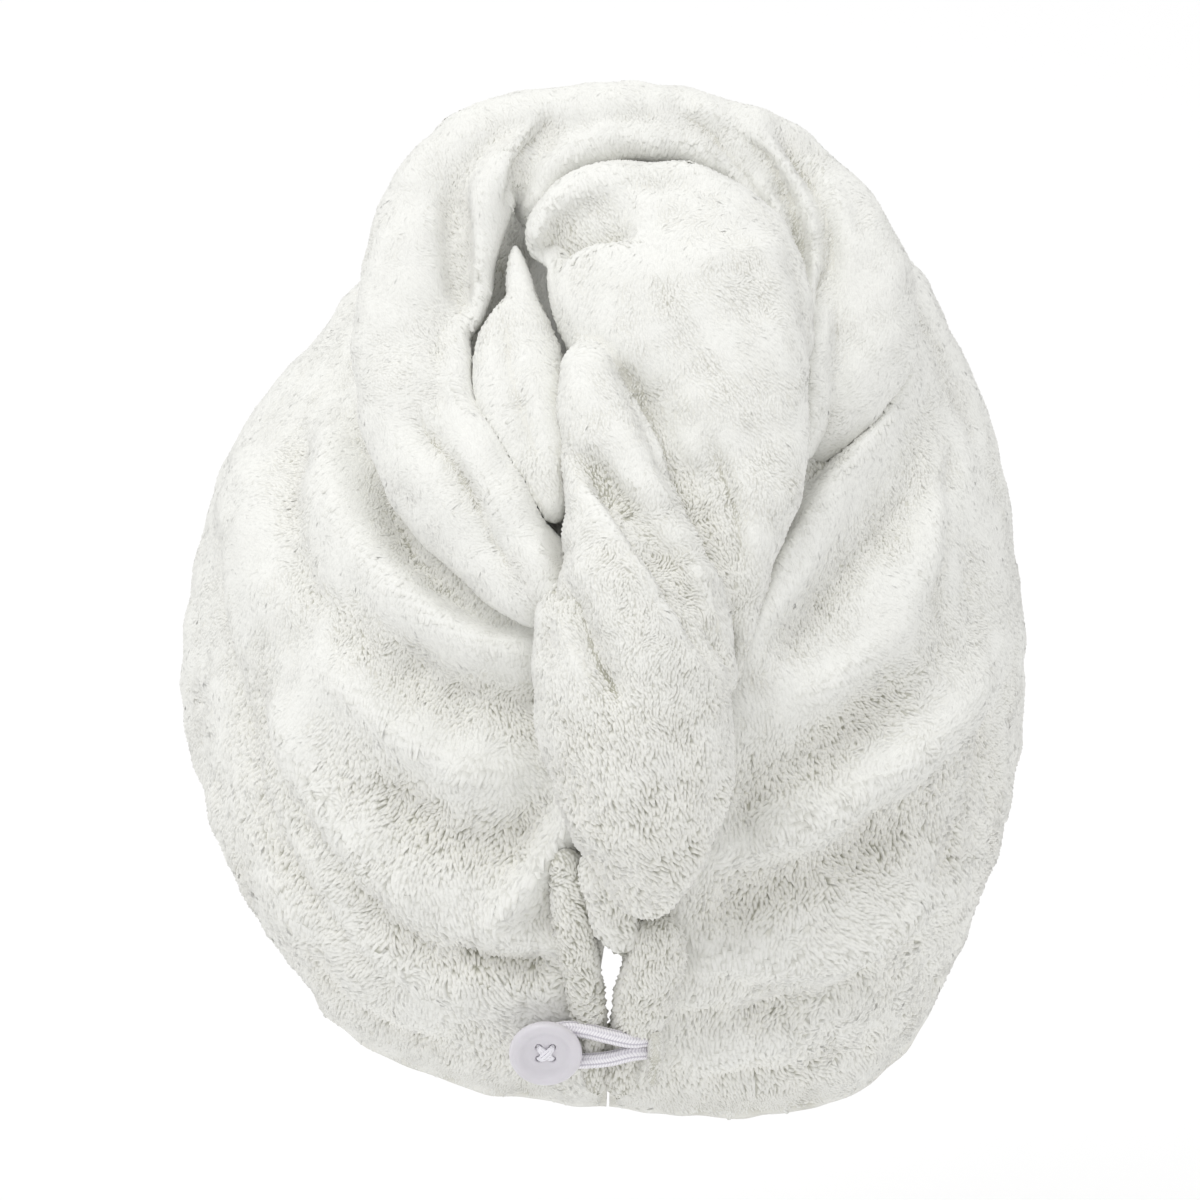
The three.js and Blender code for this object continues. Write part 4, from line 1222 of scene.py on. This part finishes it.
def fleece_tuft_material():
    """The fleece's tufts: fine white fibres, matt and soft, with painted shade. A lock is painted dimmer at
    its root, where its neighbours shade it, and clear white at its tip. In the valleys of the folds, where
    the locks part, the painted shade at the roots is deeper than on the crests."""
    material, tree, shader = new_material("coral fleece, pile tufts", MATT_FIBRE)
    chart = add_node(tree, "ShaderNodeUVMap", {"uv_map": "OFBake"})
    parts = add_node(tree, "ShaderNodeSeparateXYZ", (), {"Vector": chart.outputs["UV"]})
    # Painted shade from root to tip: deep in the valleys, faint on the crests, mixed by the lock's crest
    # share
    valley = add_node(tree, "ShaderNodeValToRGB", (), {"Fac": parts.outputs["Y"]})
    set_ramp(valley, [(0.2, "#A4A395"), (0.6, "#EEEDE6"), (1.0, "#FAF9F5")])
    crest = add_node(tree, "ShaderNodeValToRGB", (), {"Fac": parts.outputs["Y"]})
    set_ramp(crest, [(0.2, "#E8E8E3"), (0.6, "#F0F0EC"), (1.0, "#F3F3EF")])
    mixed = add_node(tree, "ShaderNodeMix", {"data_type": "RGBA"}, {"Factor": parts.outputs["X"]})
    tree.links.new(valley.outputs["Color"], colour_socket(mixed.inputs, "A"))
    tree.links.new(crest.outputs["Color"], colour_socket(mixed.inputs, "B"))
    tree.links.new(colour_socket(mixed.outputs, "Result"), shader.inputs["Base Color"])
    return material


def colour_socket(sockets, name):
    """A Mix node's socket for colours: it has others of the same name for numbers and vectors."""
    return next(socket for socket in sockets if socket.name == name and socket.type == "RGBA")


def button_material():
    """Cast polyester button, tumbled to a soft gloss: pale cool white with a trace of lavender, and a
    slight milky depth."""
    material, tree, shader = new_material("cast polyester, tumbled", {
        "Roughness": 0.32, "IOR": 1.55, "Subsurface Weight": 0.15, "Subsurface Radius": (1.0, 0.9, 1.0),
        "Subsurface Scale": 1.5 * METRE})
    place = add_node(tree, "ShaderNodeTexCoord").outputs["Object"]
    cloud = add_node(tree, "ShaderNodeTexNoise", {"Scale": 1 / (6 * METRE), "Detail": 2.0},
                     {"Vector": place})
    colour = add_node(tree, "ShaderNodeValToRGB", (), {"Fac": cloud.outputs["Fac"]})
    set_ramp(colour, [(0.3, "#D6D3D8"), (0.7, "#DCD9DF")])
    tree.links.new(colour.outputs["Color"], shader.inputs["Base Color"])
    return material


def elastic_material():
    """Braided elastic: textured polyester yarn over rubber, white with a lavender cast, satin and finely
    grained, with painted shade that makes it dimmer in the grooves of the braid."""
    material, tree, shader = new_material("polyester yarn, braided",
                                          {"Roughness": 0.62, "Sheen Weight": 0.2})
    depth = add_node(tree, "ShaderNodeAttribute", {"attribute_name": "braid_depth"})
    height = add_node(tree, "ShaderNodeMath", {"operation": "ADD"})
    tree.links.new(depth.outputs["Fac"], height.inputs[0])
    height.inputs[1].default_value = 1.0
    # Painted shade: dimmer deep in the braid's grooves, light on its stitches
    colour = add_node(tree, "ShaderNodeValToRGB", (), {"Fac": height.outputs["Value"]})
    set_ramp(colour, [(0.15, "#C6C2CC"), (0.7, "#F8F6FA")])
    tree.links.new(colour.outputs["Color"], shader.inputs["Base Color"])
    fibre_grain(tree, shader, size=0.35, depth=0.12, strength=0.5)
    return material


def thread_material():
    """Spun polyester sewing thread: white, faintly cool, with a fine fibrous grain."""
    material, tree, shader = new_material("spun polyester thread", {"Roughness": 0.7, "Sheen Weight": 0.15})
    fibre = fibre_grain(tree, shader, size=0.2, depth=0.08, strength=0.4)
    colour = add_node(tree, "ShaderNodeValToRGB", (), {"Fac": fibre})
    set_ramp(colour, [(0.3, "#E6E4EC"), (0.7, "#F8F7FA")])
    tree.links.new(colour.outputs["Color"], shader.inputs["Base Color"])
    return material


def studio_floor_material():
    """Seamless white studio paper, matt."""
    return new_material("white paper floor", {"Base Color": linear("#FBFBFB"), "Roughness": 0.9})[0]


# The camera, the floor and the light

CAMERA_AIM = np.array([0.0, -15.5, -26.8])
CAMERA_DISTANCE = 3000.0
SENSOR_WIDTH = 36.0
# The width that the frame shows on a plane this far in front of the aim, about at the towel's back
FRAME_WIDTH = 345.6
FRAME_PLANE = 50.0
FLOOR_HALF_WIDTH = 12000.0
FLOOR_HEIGHT = -420.0


def make_camera():
    """Behind the towel and thirty degrees above it, far off with a long lens."""
    data = bpy.data.cameras.new("camera")
    data.sensor_fit = "HORIZONTAL"
    data.sensor_width = SENSOR_WIDTH
    data.lens = SENSOR_WIDTH * (CAMERA_DISTANCE - FRAME_PLANE) / FRAME_WIDTH
    data.clip_end = 20
    camera = new_object("camera", data)
    camera.location = (CAMERA_AIM + CAMERA_DISTANCE * TOWARDS_VIEWER) * METRE
    camera.rotation_mode = "QUATERNION"
    camera.rotation_quaternion = Vector(-TOWARDS_VIEWER).to_track_quat("-Z", "Y")
    bpy.context.scene.camera = camera


def make_light(name, place, aim, size, power):
    """A square soft light, in metres and watts, turned to its aim."""
    data = bpy.data.lights.new(name, "AREA")
    data.shape = "SQUARE"
    data.size = size
    data.energy = power
    light = new_object(name, data)
    light.location = place
    light.rotation_mode = "QUATERNION"
    light.rotation_quaternion = (Vector(aim) - Vector(place)).to_track_quat("-Z", "Y")


def make_studio():
    """A wide pale floor, a white surround that dims towards the horizon, and one large soft key from the
    upper left."""
    sides = [(-1, -1), (1, -1), (1, 1), (-1, 1)]
    corners = [(x * FLOOR_HALF_WIDTH, y * FLOOR_HALF_WIDTH, FLOOR_HEIGHT) for x, y in sides]
    floor = new_piece("studio_floor", corners, [[0, 1, 2, 3]])
    floor.data.materials.append(studio_floor_material())
    world = bpy.data.worlds.new("white surround")
    world.use_nodes = True
    tree = world.node_tree
    way = add_node(tree, "ShaderNodeSeparateXYZ", (),
                   {"Vector": add_node(tree, "ShaderNodeTexCoord").outputs["Generated"]})
    glow = add_node(tree, "ShaderNodeMapRange",
                    {"From Min": 0.0, "From Max": 1.0, "To Min": 0.7, "To Max": 1.08},
                    {"Value": way.outputs["Z"]})
    tree.links.new(glow.outputs["Result"], tree.nodes["Background"].inputs["Strength"])
    tree.nodes["Background"].inputs["Color"].default_value = linear("#FFFFFF")
    bpy.context.scene.world = world
    bpy.context.scene.view_settings.view_transform = "Standard"
    make_light("key", place=(-0.8, -0.3, 1.9), aim=(0, -0.03, -0.02), size=1.2, power=10)


# The towel

make_camera()
make_studio()

hood, hood_block = make_hood()
cloth = {"hood": hood}
# Each wound piece by its node: strands, creases, the pieces it is cut clear of, the size of its voxels, and
# the height and the seed of its lumps
for node, strands, folds, neighbours, voxel, lumps, seed in [
    ("crown_roll", ROLL_STRANDS, ROLL_FOLDS, [], STRAND_VOXEL, 0.7, 31),
    ("inner_fold", INNER_LEAF, LEAF_FOLDS, ["crown_roll"], 0.9, 0.3, 41),
    ("tail", TAIL_STRANDS, TAIL_FOLDS, ["crown_roll", "inner_fold"], STRAND_VOXEL, 0.7, 51),
    ("slit_hem_left", LEFT_SLIT_HEM, [], ["tail"], 0.8, 0.35, 61),
    ("slit_hem_right", RIGHT_SLIT_HEM, [], ["tail", "slit_hem_left"], 0.8, 0.35, 71),
    ("loop_tab", TAB_ROLL, [], ["slit_hem_right"], 0.6, 0.15, 81),
]:
    others = [hood_block, *(cloth[neighbour] for neighbour in neighbours)]
    cloth[node] = wound_piece(f"{node}_cloth", strands, folds, others, voxel, lumps, seed)
drop(hood_block)

elastic = make_elastic()
button = make_button()
thread = make_thread()

cloth_points, cloth_triangles = stacked(surface_of(piece) for piece in cloth.values())
cloth_tree = BVHTree.FromPolygons((cloth_points * METRE).tolist(), cloth_triangles.tolist())

# The pile of each piece: number of locks, where and how they lie, and for the piece's lower and upper part
# how much further it opens, which also deepens the painted shade in the fleece's colour, and how large its
# locks are
density = 1.0
tuft_material = fleece_tuft_material()
pile = {}
for node, count, weight_of, flow_of, offsets, scales in [
    ("hood", 69000, outer_face_only, flow_on_hood, (0.0, 0.0), (1.45, 1.0)),
    ("crown_roll", 22000, everywhere, flow_on_roll, (-0.05, -0.05), (1.0, 1.0)),
    ("inner_fold", 1900, everywhere, flow_on_tail, (0.0, 0.0), (1.0, 1.0)),
    ("tail", 17500, everywhere, flow_on_tail, (0.27, 0.0), (1.45, 1.0)),
    ("slit_hem_left", 900, everywhere, flow_on_tail, (0.38, 0.38), (1.1, 1.1)),
    ("slit_hem_right", 1050, everywhere, flow_on_tail, (0.38, 0.38), (1.15, 1.15)),
    ("loop_tab", 300, everywhere, flow_on_tail, (0.3, 0.3), (0.7, 0.7)),
]:
    pile[node] = pile_on(f"{node}_pile", cloth[node], cloth_tree, int(count * density), weight_of, flow_of,
                         offsets, scales)
    for piece in pile[node]:
        piece.data.materials.append(tuft_material)
        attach(piece, "root")

ground_material = fleece_ground_material()
shown = [(piece, node, "fleece", ground_material) for node, piece in cloth.items()]
shown += [(elastic, "elastic_loop", "elastic", elastic_material()),
          (button, "button", "button", button_material()),
          (thread, "button_thread", "thread", thread_material())]
for piece, node, slot, material in shown:
    piece.data.materials.clear()
    piece.data.materials.append(material)
    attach(piece, "root")
    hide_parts(node)
